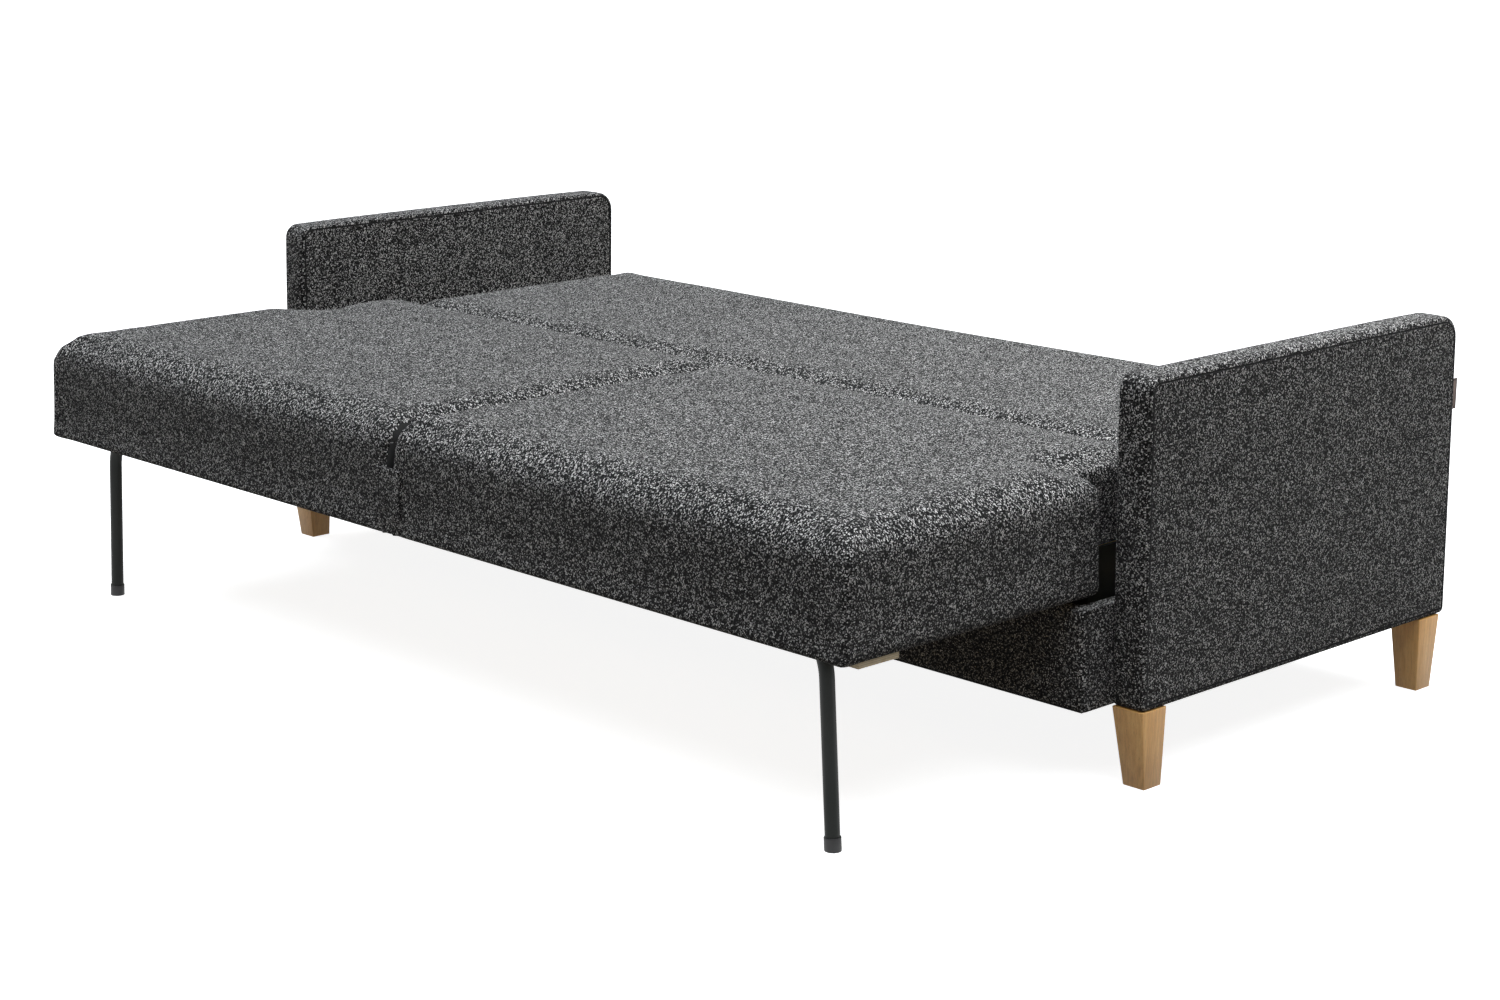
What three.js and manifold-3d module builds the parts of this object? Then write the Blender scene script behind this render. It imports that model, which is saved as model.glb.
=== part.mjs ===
// Futon sofa bed, drawn as a bed, in millimetres with +Z up.
//
// X runs from arm to arm, Y from the front edge of the bed to its rear edge. The pieces are placed
// with y = 0 at the front faces of the arms, and the finished group is moved along Y so that the
// origin lies on the floor under the middle of the bounding box.
//
// Four bodies move: the base with its arms stands still, the seat slides on the base along Y, the
// back folds up on the seat about a line along X, and the leg hoop folds under the seat.
import * as THREE from 'three';
import { mergeVertices } from 'three/addons/utils/BufferGeometryUtils.js';
import Module from 'manifold-3d';

const wasm = await Module();
wasm.setup();

// ---------------------------------------------------------------- driving dimensions

const TOUCH = 0.3; // clearance kept where two pieces rest on each other
const SIDES = { left: -1, right: 1 };

// Arms: padded panels either side of the sleeping surface, standing on tapered feet.
const ARM = {
  gap: 2012, thickness: 58, depth: 795, bottom: 124, top: 620, wall: 12,
  topRearRadius: 38, topFrontRadius: 22, bottomRadius: 10, edge: 5,
};
const FOOT = { topMargin: 1, tip: 40, sideInset: 5.4, frontInset: 17, rearInset: 22, rearSetback: 14 };
const FOOT_BOLT = { radius: 4, length: 80, clearance: 0.3 };
const LABEL = { bottom: 464, height: 50, reach: 12, thickness: 2.4, fromEdge: 4 };

// Base: an open box of boards between the arms, with a channel on each side for the seat to run in.
const BASE = { front: -71, bottom: 128, top: 280, board: 22, beamWidth: 40, beamHeight: 72 };
const DUST_COVER = { thickness: 1.5, inset: 2 };
const CHANNEL = { height: 40, depth: 22, wall: 2.5, belowTop: 15, stop: 10 };

// Seat: two cushions on a wooden frame. Its wings reach almost from arm to arm, and behind the
// shoulder it is a neck, narrower by a notch on each side that holds the slide and the hinge.
const SEAT = {
  front: -562, shoulder: -14, rear: 200, sideClearance: 8, notch: 68,
  padHeight: 107.4, roundEdge: 25, cornerRadius: 30,
};
const FRAME = { board: 22, innerHeight: 17, border: 10, deck: 10 };
const DECK_SLOT = { width: 40, endMargin: 140, pitch: 150, margin: 90 };

// Back: one cushion on a frame, whose round nose turns about the hinge line without touching the seat.
const BACK = {
  depth: 587, foldClearance: 3, noseRadius: 84.5, noseDrop: 9.5, rearRadius: 45, railHeight: 52,
};
const LINING = { thickness: 3, inset: 5 };

// Slide and hinge on each side of the neck.
const PLATE = {
  thickness: 4, backThickness: 3, gap: 1, front: 20, aboveChannel: 10, strapHeight: 50, pivotMargin: 34,
};
const BACK_PLATE = { length: 170, edge: 6 };
const SHOE = { front: 60, length: 220, clearance: 0.5 };
const PIN = { radius: 6, headOverhang: 5, headHeight: 4.5, clearance: 0.4 };

// Leg hoop: a crossbar and two bent legs of one tube size, hinged on a board under the seat.
const TUBE = { radius: 11, wall: 1.5, bendRadius: 90, splay: THREE.MathUtils.degToRad(3.5) };
const LEG = { fromSeatFront: 68.5, footInset: 82.2, axisLift: 35, clearance: 4, baseClearance: 11.5 };
const CAP = { wall: 1.1, height: 20, floor: 4, clearance: 0.4 };
const LEG_BOARD = {
  fromSeatFront: 42, width: 80, thickness: 12, endInset: 13, baseClearance: 3, slotClearance: 3.5,
};
const LEG_BLOCK = { x: 400, width: 30, aboveTube: 4, clearance: 0.5, cornerRadius: 12 };

// ---------------------------------------------------------------- sizes that follow from them

const armInner = ARM.gap / 2;
const armOuter = armInner + ARM.thickness;
const footTop = ARM.thickness - FOOT.topMargin;
const labelRear = ARM.depth + TOUCH + LABEL.reach;

const baseHalf = armInner - TOUCH;
const channelOuter = baseHalf - BASE.board - TOUCH;
const channelTop = BASE.top - CHANNEL.belowTop;
const channelBottom = channelTop - CHANNEL.height;
const betweenRails = [BASE.front + BASE.board + TOUCH, ARM.depth - BASE.board - TOUCH];

const seatHalf = armInner - SEAT.sideClearance;
const neckHalf = seatHalf - SEAT.notch;
const seatBottom = BASE.top + LEG_BOARD.baseClearance + LEG_BOARD.thickness;
const tubeTop = LEG.axisLift + TUBE.radius;
const frameTop = seatBottom + tubeTop + LEG.clearance + FRAME.innerHeight;
const deckHeight = [frameTop + TOUCH, frameTop + TOUCH + FRAME.deck];
const padBottom = deckHeight[1] + TOUCH;
const padTop = padBottom + SEAT.padHeight;

const backFront = SEAT.rear + BACK.foldClearance;
const backRear = backFront + BACK.depth;
const pivot = { y: backFront + BACK.noseRadius, z: padBottom + BACK.noseDrop };
const backTop = pivot.z + BACK.noseRadius;
const backRailBottom = frameTop - BACK.railHeight;
const backPlateInner = neckHalf + PLATE.gap;
const backPlateOuter = backPlateInner + PLATE.backThickness;
const carriageInner = backPlateOuter + PLATE.gap;
const carriageOuter = carriageInner + PLATE.thickness;
const neckRailOuter = carriageInner - TOUCH;

const legY = SEAT.front + LEG.fromSeatFront;
const legAxis = seatBottom + LEG.axisLift;
const footX = seatHalf - LEG.footInset;
const capRadius = TUBE.radius + CAP.clearance + CAP.wall;
// How far the seat slides back: the standing legs stop short of the front of the base, and the shoes
// stop short of its rear rail.
const travel = Math.min(
  BASE.front - LEG.baseClearance - TUBE.radius - legY,
  betweenRails[1] - CHANNEL.stop - SHOE.length - SHOE.front,
);

// ---------------------------------------------------------------- materials

const material = (name, color, roughness, metalness = 0) =>
  new THREE.MeshStandardMaterial({ name, color, roughness, metalness });
const TWEED = material('tweed', 0x59595b, 0.95);
const OAK = material('oak', 0xc8a56e, 0.5);
const PINE = material('pine', 0xd8bd8c, 0.7);
const BIRCH = material('birch', 0xdcc39a, 0.6);
const BLACK_STEEL = material('black_steel', 0x2d302d, 0.45, 0.6);
const ZINC = material('zinc', 0xa9adb0, 0.4, 0.9);
const NYLON = material('nylon', 0x1d1d1e, 0.5);
const BLACK_CLOTH = material('black_cloth', 0x1b1b1c, 0.95);
const LABEL_CLOTH = material('label_cloth', 0x6b4a38, 0.85);

// ---------------------------------------------------------------- shape helpers

const ARC_STEP = Math.PI / 8;
const ROUND_SIDES = 24;

/** Closed outline through corners [x, y, radius], each radius drawn as an arc. */
function outline(corners) {
  const points = [];
  corners.forEach(([x, y, radius = 0], i) => {
    const corner = new THREE.Vector2(x, y);
    if (radius === 0) {
      points.push(corner);
      return;
    }
    const [x0, y0] = corners.at(i - 1);
    const [x1, y1] = corners[(i + 1) % corners.length];
    const before = new THREE.Vector2(x0, y0).sub(corner).normalize();
    const after = new THREE.Vector2(x1, y1).sub(corner).normalize();
    const halfAngle = Math.acos(before.dot(after)) / 2;
    const centre = before.clone().add(after).setLength(radius / Math.sin(halfAngle)).add(corner);
    const tangent = radius / Math.tan(halfAngle);
    const start = before.multiplyScalar(tangent).add(corner);
    const end = after.multiplyScalar(tangent).add(corner);
    const from = start.clone().sub(centre);
    const to = end.clone().sub(centre);
    const turn = Math.atan2(from.cross(to), from.dot(to));
    const steps = Math.ceil(Math.abs(turn) / ARC_STEP);
    for (let step = 0; step <= steps; step += 1) {
      points.push(start.clone().rotateAround(centre, (turn * step) / steps));
    }
  });
  return new THREE.Shape(points);
}

/** Corners with x mirrored for the left side. */
const mirrored = (corners, side) => corners.map(([x, y, radius]) => [side * x, y, radius]);

/** The outline raised from z = bottom to z = top, with its edges rounded over by edge. */
function alongZ(shape, bottom, top, edge = 0) {
  const geometry = new THREE.ExtrudeGeometry(shape, {
    depth: top - bottom - 2 * edge,
    bevelEnabled: edge > 0, bevelThickness: edge, bevelSize: edge, bevelOffset: -edge, bevelSegments: 3,
    curveSegments: ROUND_SIDES,
  });
  return geometry.translate(0, 0, bottom + edge);
}

/** A (y, z) outline drawn out along X from x0 to x1, in either order. */
function alongX(shape, x0, x1, edge = 0) {
  const basis = new THREE.Matrix4().makeBasis(
    new THREE.Vector3(0, 1, 0), new THREE.Vector3(0, 0, 1), new THREE.Vector3(1, 0, 0));
  return alongZ(shape, Math.min(x0, x1), Math.max(x0, x1), edge).applyMatrix4(basis);
}

/** An (x, z) outline drawn out along Y from y0 to y1. */
function alongY(shape, y0, y1) {
  const basis = new THREE.Matrix4().makeBasis(
    new THREE.Vector3(1, 0, 0), new THREE.Vector3(0, 0, 1), new THREE.Vector3(0, -1, 0));
  return alongZ(shape, -y1, -y0).applyMatrix4(basis);
}

/** Block between two corners, given as ranges that may run either way. */
function block([x0, x1], [y0, y1], [z0, z1]) {
  return new THREE.BoxGeometry(Math.abs(x1 - x0), Math.abs(y1 - y0), Math.abs(z1 - z0))
    .translate((x0 + x1) / 2, (y0 + y1) / 2, (z0 + z1) / 2);
}

/** Block whose bottom rectangle differs from its top one; rectangles are [x0, x1, y0, y1]. */
function taperedBlock(top, bottom, z0, z1) {
  const geometry = new THREE.BoxGeometry(1, 1, 1);
  const place = geometry.attributes.position;
  for (let i = 0; i < place.count; i += 1) {
    const [x0, x1, y0, y1] = place.getZ(i) > 0 ? top : bottom;
    place.setXYZ(i, place.getX(i) > 0 ? x1 : x0, place.getY(i) > 0 ? y1 : y0, place.getZ(i) > 0 ? z1 : z0);
  }
  return geometry;
}

/** Round bar along Z. */
const roundBar = (radius, x, y, z0, z1) =>
  new THREE.CylinderGeometry(radius, radius, z1 - z0, ROUND_SIDES)
    .rotateX(Math.PI / 2).translate(x, y, (z0 + z1) / 2);

/** Circular hole for an outline. */
const roundHole = (x, y, radius) => new THREE.Path().absarc(x, y, radius, 0, 2 * Math.PI, true);

/** Turned piece from a closed profile of [radius, height], standing along Z. */
function turned(profile) {
  const points = profile.map(([radius, height]) => new THREE.Vector2(radius, height));
  return new THREE.LatheGeometry(points, ROUND_SIDES).rotateX(Math.PI / 2);
}

/** The geometry as a manifold solid, with shared corners merged. */
function toSolid(geometry) {
  const bare = geometry.clone();
  bare.deleteAttribute('normal');
  bare.deleteAttribute('uv');
  const merged = mergeVertices(bare, 1e-3);
  return new wasm.Manifold(new wasm.Mesh({
    numProp: 3,
    vertProperties: new Float32Array(merged.attributes.position.array),
    triVerts: new Uint32Array(merged.index.array),
  }));
}

/** A manifold solid as a three.js geometry. */
function toGeometry(solid) {
  const mesh = solid.getMesh();
  const geometry = new THREE.BufferGeometry();
  geometry.setAttribute('position', new THREE.BufferAttribute(new Float32Array(mesh.vertProperties), 3));
  geometry.setIndex(new THREE.BufferAttribute(new Uint32Array(mesh.triVerts), 1));
  const faceted = geometry.toNonIndexed();
  faceted.computeVertexNormals();
  return faceted;
}

/** The geometry with the tools cut out of it. */
function cut(geometry, ...tools) {
  return toGeometry(tools.reduce((solid, tool) => solid.subtract(toSolid(tool)), toSolid(geometry)));
}

/** The part of the geometry above the level z. */
const above = (geometry, z) => toGeometry(toSolid(geometry).trimByPlane([0, 0, 1], z));

// ---------------------------------------------------------------- assembly

const sofaBed = new THREE.Group();
sofaBed.name = 'futon_sofa_bed';
sofaBed.position.y = -(SEAT.front + labelRear) / 2;

/** Adds one named piece to the sofa bed. */
function add(name, geometry, finish) {
  const mesh = new THREE.Mesh(geometry, finish);
  mesh.name = name;
  sofaBed.add(mesh);
}

/** Runs the builder once for each side, with its name and its sign along X. */
const eachSide = (build) => Object.entries(SIDES).forEach(([name, side]) => build(name, side));

// ---------------------------------------------------------------- arms and feet

/** Foot rectangles [x0, x1, y0, y1] at the top and at the floor, for one end of one arm. */
function footRectangles(side, isFront) {
  const alongDepth = (fromEnd, size) =>
    (isFront ? [fromEnd, fromEnd + size] : [ARM.depth - fromEnd - size, ARM.depth - fromEnd]);
  const acrossArm = (fromOuter, size) => {
    const outer = side * (armOuter - fromOuter);
    return [Math.min(outer, outer - side * size), Math.max(outer, outer - side * size)];
  };
  const [setback, endInset] = isFront ? [0, FOOT.frontInset] : [FOOT.rearSetback, FOOT.rearInset];
  return {
    top: [...acrossArm(FOOT.topMargin / 2, footTop), ...alongDepth(setback, footTop)],
    tip: [...acrossArm(FOOT.sideInset, FOOT.tip), ...alongDepth(endInset, FOOT.tip)],
  };
}

eachSide((name, side) => {
  const armX = side * (armInner + ARM.thickness / 2);
  const bolts = [];
  for (const [end, isFront] of [['front', true], ['rear', false]]) {
    const y = isFront ? footTop / 2 : ARM.depth - FOOT.rearSetback - footTop / 2;
    const middle = ARM.bottom;
    const low = middle - FOOT_BOLT.length / 2;
    const high = middle + FOOT_BOLT.length / 2;
    const loose = FOOT_BOLT.clearance;
    const hole = roundBar(FOOT_BOLT.radius + loose, armX, y, low - loose, high + loose);
    const { top, tip } = footRectangles(side, isFront);
    add(`foot_${end}_${name}`, cut(taperedBlock(top, tip, 0, ARM.bottom - TOUCH), hole), OAK);
    add(`foot_bolt_${end}_${name}`, roundBar(FOOT_BOLT.radius, armX, y, low, high), ZINC);
    bolts.push(hole);
  }

  const armOutline = outline([
    [0, ARM.bottom, ARM.bottomRadius], [ARM.depth, ARM.bottom, ARM.bottomRadius],
    [ARM.depth, ARM.top, ARM.topRearRadius], [0, ARM.top, ARM.topFrontRadius],
  ]);
  const coreX = [side * (armInner + ARM.wall), side * (armOuter - ARM.wall)];
  const pocket = block(coreX, [ARM.wall, ARM.depth - ARM.wall], [ARM.bottom - 1, ARM.top - ARM.wall]);
  const padding = alongX(armOutline, side * armInner, side * armOuter, ARM.edge);
  add(`arm_cover_${name}`, cut(padding, pocket), TWEED);

  const core = block(
    coreX.map((x, i) => x + side * (i === 0 ? TOUCH : -TOUCH)),
    [ARM.wall + TOUCH, ARM.depth - ARM.wall - TOUCH],
    [ARM.bottom, ARM.top - ARM.wall - TOUCH],
  );
  add(`arm_core_${name}`, cut(core, ...bolts), PINE);
});

const labelX = armOuter - LABEL.fromEdge;
add('label_tag', block(
  [labelX - LABEL.thickness, labelX],
  [ARM.depth + TOUCH, labelRear],
  [LABEL.bottom, LABEL.bottom + LABEL.height],
), LABEL_CLOTH);

// ---------------------------------------------------------------- base

const baseHeight = [BASE.bottom, BASE.top];
const baseSpan = [-baseHalf, baseHalf];
add('base_front_rail', block(baseSpan, [BASE.front, BASE.front + BASE.board], baseHeight), TWEED);
add('base_rear_rail', block(baseSpan, [ARM.depth - BASE.board, ARM.depth], baseHeight), TWEED);
add('base_centre_beam', block(
  [-BASE.beamWidth / 2, BASE.beamWidth / 2],
  betweenRails,
  [BASE.bottom, BASE.bottom + BASE.beamHeight],
), PINE);
add('dust_cover', block(
  baseSpan,
  [BASE.front + DUST_COVER.inset, ARM.depth - DUST_COVER.inset],
  [BASE.bottom - TOUCH - DUST_COVER.thickness, BASE.bottom - TOUCH],
), BLACK_CLOTH);

eachSide((name, side) => {
  const railX = [side * (baseHalf - BASE.board), side * baseHalf];
  add(`base_${name}_rail`, block(railX, betweenRails, baseHeight), PINE);
  const lip = channelOuter - CHANNEL.depth;
  const web = channelOuter - CHANNEL.wall;
  const floor = channelBottom + CHANNEL.wall;
  const roof = channelTop - CHANNEL.wall;
  const section = outline(mirrored([
    [lip, channelBottom], [channelOuter, channelBottom], [channelOuter, channelTop], [lip, channelTop],
    [lip, roof], [web, roof], [web, floor], [lip, floor],
  ], side));
  const length = SHOE.length + travel + CHANNEL.stop;
  add(`slide_channel_${name}`, alongY(section, SHOE.front - CHANNEL.stop, SHOE.front + length), ZINC);
});

// ---------------------------------------------------------------- seat

/** Plan corners of one half of the seat, from the middle joint out to the wing. */
const seatPlan = (side) => mirrored([
  [TOUCH, SEAT.front], [seatHalf, SEAT.front, SEAT.cornerRadius],
  [seatHalf, SEAT.shoulder, SEAT.cornerRadius], [neckHalf, SEAT.shoulder],
  [neckHalf, SEAT.rear - TOUCH], [TOUCH, SEAT.rear - TOUCH],
], side);

const frameHeight = [seatBottom, frameTop];
const borderHeight = [seatBottom, padBottom - TOUCH];
const frameHalf = seatHalf - FRAME.border - TOUCH;
const frameFront = SEAT.front + FRAME.border + TOUCH;
const frameShoulder = SEAT.shoulder - FRAME.border - TOUCH;
const railBehindFront = frameFront + FRAME.board + TOUCH;

add('seat_border_front', block(
  [-seatHalf, seatHalf], [SEAT.front, SEAT.front + FRAME.border], borderHeight), TWEED);
add('seat_frame_front', block(
  [-frameHalf, frameHalf], [frameFront, frameFront + FRAME.board], frameHeight), PINE);
const neckRailInner = neckRailOuter - FRAME.board;
const rearRailHalf = neckRailInner - TOUCH;
add('seat_frame_rear', block(
  [-rearRailHalf, rearRailHalf], [SEAT.rear - FRAME.board, SEAT.rear], frameHeight), PINE);
add('seat_frame_centre', block(
  [-FRAME.board / 2, FRAME.board / 2],
  [railBehindFront, SEAT.rear - FRAME.board - TOUCH],
  [frameTop - FRAME.innerHeight, frameTop],
), PINE);

/** Ventilation slots for a deck that reaches from x = 0 to x = reach and from y0 to y1. */
function deckSlots(side, reach, y0, y1) {
  const slots = [];
  const last = reach - DECK_SLOT.margin / 2 - DECK_SLOT.width;
  for (let x = DECK_SLOT.margin; x < last; x += DECK_SLOT.pitch) {
    const across = [side * x, side * (x + DECK_SLOT.width)];
    slots.push(block(
      across, [y0 + DECK_SLOT.endMargin, y1 - DECK_SLOT.endMargin], [deckHeight[0] - 1, deckHeight[1] + 1]));
  }
  return slots;
}

eachSide((name, side) => {
  const plan = outline(seatPlan(side));
  const pad = alongZ(plan, padBottom - 2 * SEAT.roundEdge, padTop, SEAT.roundEdge);
  add(`seat_pad_${name}`, above(pad, padBottom), TWEED);

  const deckX = [side * TOUCH, side * (neckHalf - FRAME.border - TOUCH)];
  const deck = block(deckX, [frameFront, SEAT.rear - TOUCH], deckHeight);
  const slots = deckSlots(side, neckHalf, frameFront, SEAT.rear);
  add(`seat_deck_${name}`, cut(deck, ...slots), BIRCH);

  const borderInner = seatHalf - FRAME.border;
  const borderFront = SEAT.shoulder - FRAME.border;
  const borderEnd = neckRailOuter + TOUCH;
  add(`seat_border_${name}`, alongZ(outline(mirrored([
    [seatHalf, frameFront], [seatHalf, SEAT.shoulder], [borderEnd, SEAT.shoulder],
    [borderEnd, borderFront], [borderInner, borderFront], [borderInner, frameFront],
  ], side)), ...borderHeight), TWEED);

  add(`seat_frame_${name}`, alongZ(outline(mirrored([
    [frameHalf, railBehindFront], [frameHalf, frameShoulder], [neckRailOuter, frameShoulder],
    [neckRailOuter, SEAT.rear], [neckRailInner, SEAT.rear], [neckRailInner, frameShoulder - FRAME.board],
    [frameHalf - FRAME.board, frameShoulder - FRAME.board], [frameHalf - FRAME.board, railBehindFront],
  ], side)), ...frameHeight), PINE);
});

// ---------------------------------------------------------------- slide and hinge

const plateBottom = channelBottom + PLATE.aboveChannel;
const strapTop = seatBottom + PLATE.strapHeight;
eachSide((name, side) => {
  const plateShape = outline([
    [PLATE.front, plateBottom, 8], [pivot.y + PLATE.pivotMargin, plateBottom, 8],
    [pivot.y + PLATE.pivotMargin, pivot.z + PLATE.pivotMargin, PLATE.pivotMargin],
    [pivot.y - PLATE.pivotMargin, pivot.z + PLATE.pivotMargin, PLATE.pivotMargin],
    [SEAT.rear, strapTop, 10], [PLATE.front, strapTop, 8],
  ]);
  plateShape.holes.push(roundHole(pivot.y, pivot.z, PIN.radius + PIN.clearance));
  add(`carriage_plate_${name}`, alongX(plateShape, side * carriageInner, side * carriageOuter), BLACK_STEEL);

  add(`slide_shoe_${name}`, block(
    [side * (carriageOuter + TOUCH), side * (channelOuter - CHANNEL.wall - SHOE.clearance)],
    [SHOE.front, SHOE.front + SHOE.length],
    [channelBottom + CHANNEL.wall + SHOE.clearance, channelTop - CHANNEL.wall - SHOE.clearance],
  ), NYLON);

  const railFront = pivot.y - PLATE.pivotMargin;
  const railEnd = railFront + BACK_PLATE.length;
  const eyeTop = pivot.z + PLATE.pivotMargin - BACK_PLATE.edge;
  const backPlateShape = outline([
    [railFront, backRailBottom + BACK_PLATE.edge, 10], [railEnd, backRailBottom + BACK_PLATE.edge, 10],
    [railEnd, frameTop - BACK_PLATE.edge / 2, 10],
    [pivot.y + PLATE.pivotMargin, eyeTop, 24], [railFront, eyeTop, 24],
  ]);
  backPlateShape.holes.push(roundHole(pivot.y, pivot.z, PIN.radius + PIN.clearance));
  const backPlate = alongX(backPlateShape, side * backPlateInner, side * backPlateOuter);
  add(`back_plate_${name}`, backPlate, BLACK_STEEL);

  const headBase = carriageOuter + TOUCH;
  const headRadius = PIN.radius + PIN.headOverhang;
  const pin = turned([
    [0, backPlateInner - TOUCH], [PIN.radius, backPlateInner - TOUCH], [PIN.radius, headBase],
    [headRadius, headBase], [headRadius, headBase + PIN.headHeight], [0, headBase + PIN.headHeight],
  ]);
  add(`pivot_pin_${name}`, pin.rotateY(side * Math.PI / 2).translate(0, pivot.y, pivot.z), ZINC);
});

// ---------------------------------------------------------------- back

add('back_pad', alongX(outline([
  [backFront, padBottom], [backRear, padBottom],
  [backRear, backTop, BACK.rearRadius], [backFront, backTop, BACK.noseRadius],
]), -neckHalf, neckHalf), TWEED);

const backHalf = backPlateInner - TOUCH;
const backRailHeight = [backRailBottom, frameTop];
const backRailFront = pivot.y - BACK.noseRadius / 2;
const backSpan = [-backHalf, backHalf];
const lowerRailY = [backRailFront, backRailFront + FRAME.board];
add('back_frame_lower', block(backSpan, lowerRailY, backRailHeight), PINE);
add('back_frame_upper', block(backSpan, [backRear - FRAME.board, backRear], backRailHeight), PINE);
eachSide((name, side) => add(`back_frame_${name}`, block(
  [side * (backHalf - FRAME.board), side * backHalf],
  [backRailFront + FRAME.board + TOUCH, backRear - FRAME.board - TOUCH],
  backRailHeight,
), PINE));
add('back_deck', cut(
  block([-neckHalf, neckHalf], [backRailFront, backRear], deckHeight),
  ...[-1, 1].flatMap((side) => deckSlots(side, neckHalf, backRailFront, backRear)),
), BIRCH);
add('back_lining', block(
  [-(backHalf - LINING.inset), backHalf - LINING.inset],
  [pivot.y, backRear - LINING.inset],
  [backRailBottom - TOUCH - LINING.thickness, backRailBottom - TOUCH],
), BLACK_CLOTH);

// ---------------------------------------------------------------- folding legs

/** Centre line of one leg: a bend out of the crossbar, then straight down to the floor. */
class LegCurve extends THREE.Curve {
  constructor(side) {
    super();
    this.side = side;
    this.turn = Math.PI / 2 - TUBE.splay;
    this.arcLength = TUBE.bendRadius * this.turn;
    const tangent = TUBE.bendRadius * Math.tan(this.turn / 2);
    this.bendStart = footX - Math.tan(TUBE.splay) * legAxis - tangent;
    const upright = legAxis / Math.cos(TUBE.splay);
    this.straight = upright - tangent - CAP.floor;
  }

  getPoint(t, target = new THREE.Vector3()) {
    const along = t * (this.arcLength + this.straight);
    const angle = Math.min(along, this.arcLength) / TUBE.bendRadius;
    const past = Math.max(0, along - this.arcLength);
    return target.set(
      this.side * (this.bendStart + TUBE.bendRadius * Math.sin(angle) + past * Math.cos(this.turn)),
      legY,
      legAxis - TUBE.bendRadius * (1 - Math.cos(angle)) - past * Math.sin(this.turn),
    );
  }
}

/** Ring section of the tube. */
function tubeSection(sides) {
  const ring = (radius) => Array.from({ length: sides }, (_, i) => {
    const angle = (2 * Math.PI * i) / sides;
    return new THREE.Vector2(radius * Math.cos(angle), radius * Math.sin(angle));
  });
  const section = new THREE.Shape(ring(TUBE.radius));
  section.holes.push(new THREE.Path(ring(TUBE.radius - TUBE.wall)));
  return section;
}

const TUBE_SIDES = 12;
const LEG_STEPS = 14;
const crossbarEnd = new LegCurve(1).bendStart - TOUCH;
add('leg_crossbar', alongX(tubeSection(TUBE_SIDES), -crossbarEnd, crossbarEnd)
  .translate(0, legY, legAxis), BLACK_STEEL);

eachSide((name, side) => {
  const leg = new THREE.ExtrudeGeometry(
    tubeSection(TUBE_SIDES), { steps: LEG_STEPS, extrudePath: new LegCurve(side) });
  add(`leg_${name}`, leg, BLACK_STEEL);

  const bore = TUBE.radius + CAP.clearance;
  const cap = turned([
    [0, -CAP.floor], [capRadius, -CAP.floor], [capRadius, CAP.height], [bore, CAP.height],
    [bore, CAP.floor - TOUCH], [0, CAP.floor - TOUCH],
  ]).rotateY(-side * TUBE.splay).translate(side * footX, legY, 0);
  add(`leg_cap_${name}`, above(cap, 0), NYLON);
});

// The board is slotted where the legs come down through it and swing back.
const boardHeight = [BASE.top + LEG_BOARD.baseClearance, seatBottom - TOUCH];
const boardFront = SEAT.front + LEG_BOARD.fromSeatFront;
const boardRear = boardFront + LEG_BOARD.width;
const boardHalf = seatHalf - LEG_BOARD.endInset;
const bendAtBoard = Math.acos(1 - LEG.axisLift / TUBE.bendRadius);
const slotInner = new LegCurve(1).bendStart + TUBE.bendRadius * Math.sin(bendAtBoard)
  - TUBE.radius / Math.sin(bendAtBoard) - LEG_BOARD.slotClearance;
const slotFront = legY - TUBE.radius - LEG_BOARD.slotClearance;
add('leg_board', cut(
  block([-boardHalf, boardHalf], [boardFront, boardRear], boardHeight),
  ...[-1, 1].map((side) => block(
    [side * slotInner, side * footX], [slotFront, boardRear + 1], [boardHeight[0] - 1, boardHeight[1] + 1])),
), BIRCH);

eachSide((name, side) => {
  const blockRear = 2 * legY - boardFront;
  const blockTop = seatBottom + tubeTop + LEG_BLOCK.aboveTube;
  const shape = outline([
    [boardFront, seatBottom], [blockRear, seatBottom],
    [blockRear, blockTop, LEG_BLOCK.cornerRadius], [boardFront, blockTop, LEG_BLOCK.cornerRadius],
  ]);
  shape.holes.push(roundHole(legY, legAxis, TUBE.radius + LEG_BLOCK.clearance));
  const middle = side * LEG_BLOCK.x;
  add(`leg_block_${name}`, alongX(shape, middle - LEG_BLOCK.width / 2, middle + LEG_BLOCK.width / 2), NYLON);
});

export default sofaBed;
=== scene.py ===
"""Looks of a futon sofa bed laid flat: tweed cushions and arms, oak feet and a folding leg hoop.

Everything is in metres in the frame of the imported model. X runs from arm to arm, Y from the front
edge of the bed to its rear edge, and Z is up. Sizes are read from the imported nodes.
"""
import logging
import math
from collections.abc import Callable, Iterator
from contextlib import contextmanager
from dataclasses import dataclass, field
from enum import Enum
from typing import Any

import bmesh
import bpy
import numpy as np
from mathutils import Matrix, Vector


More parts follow.
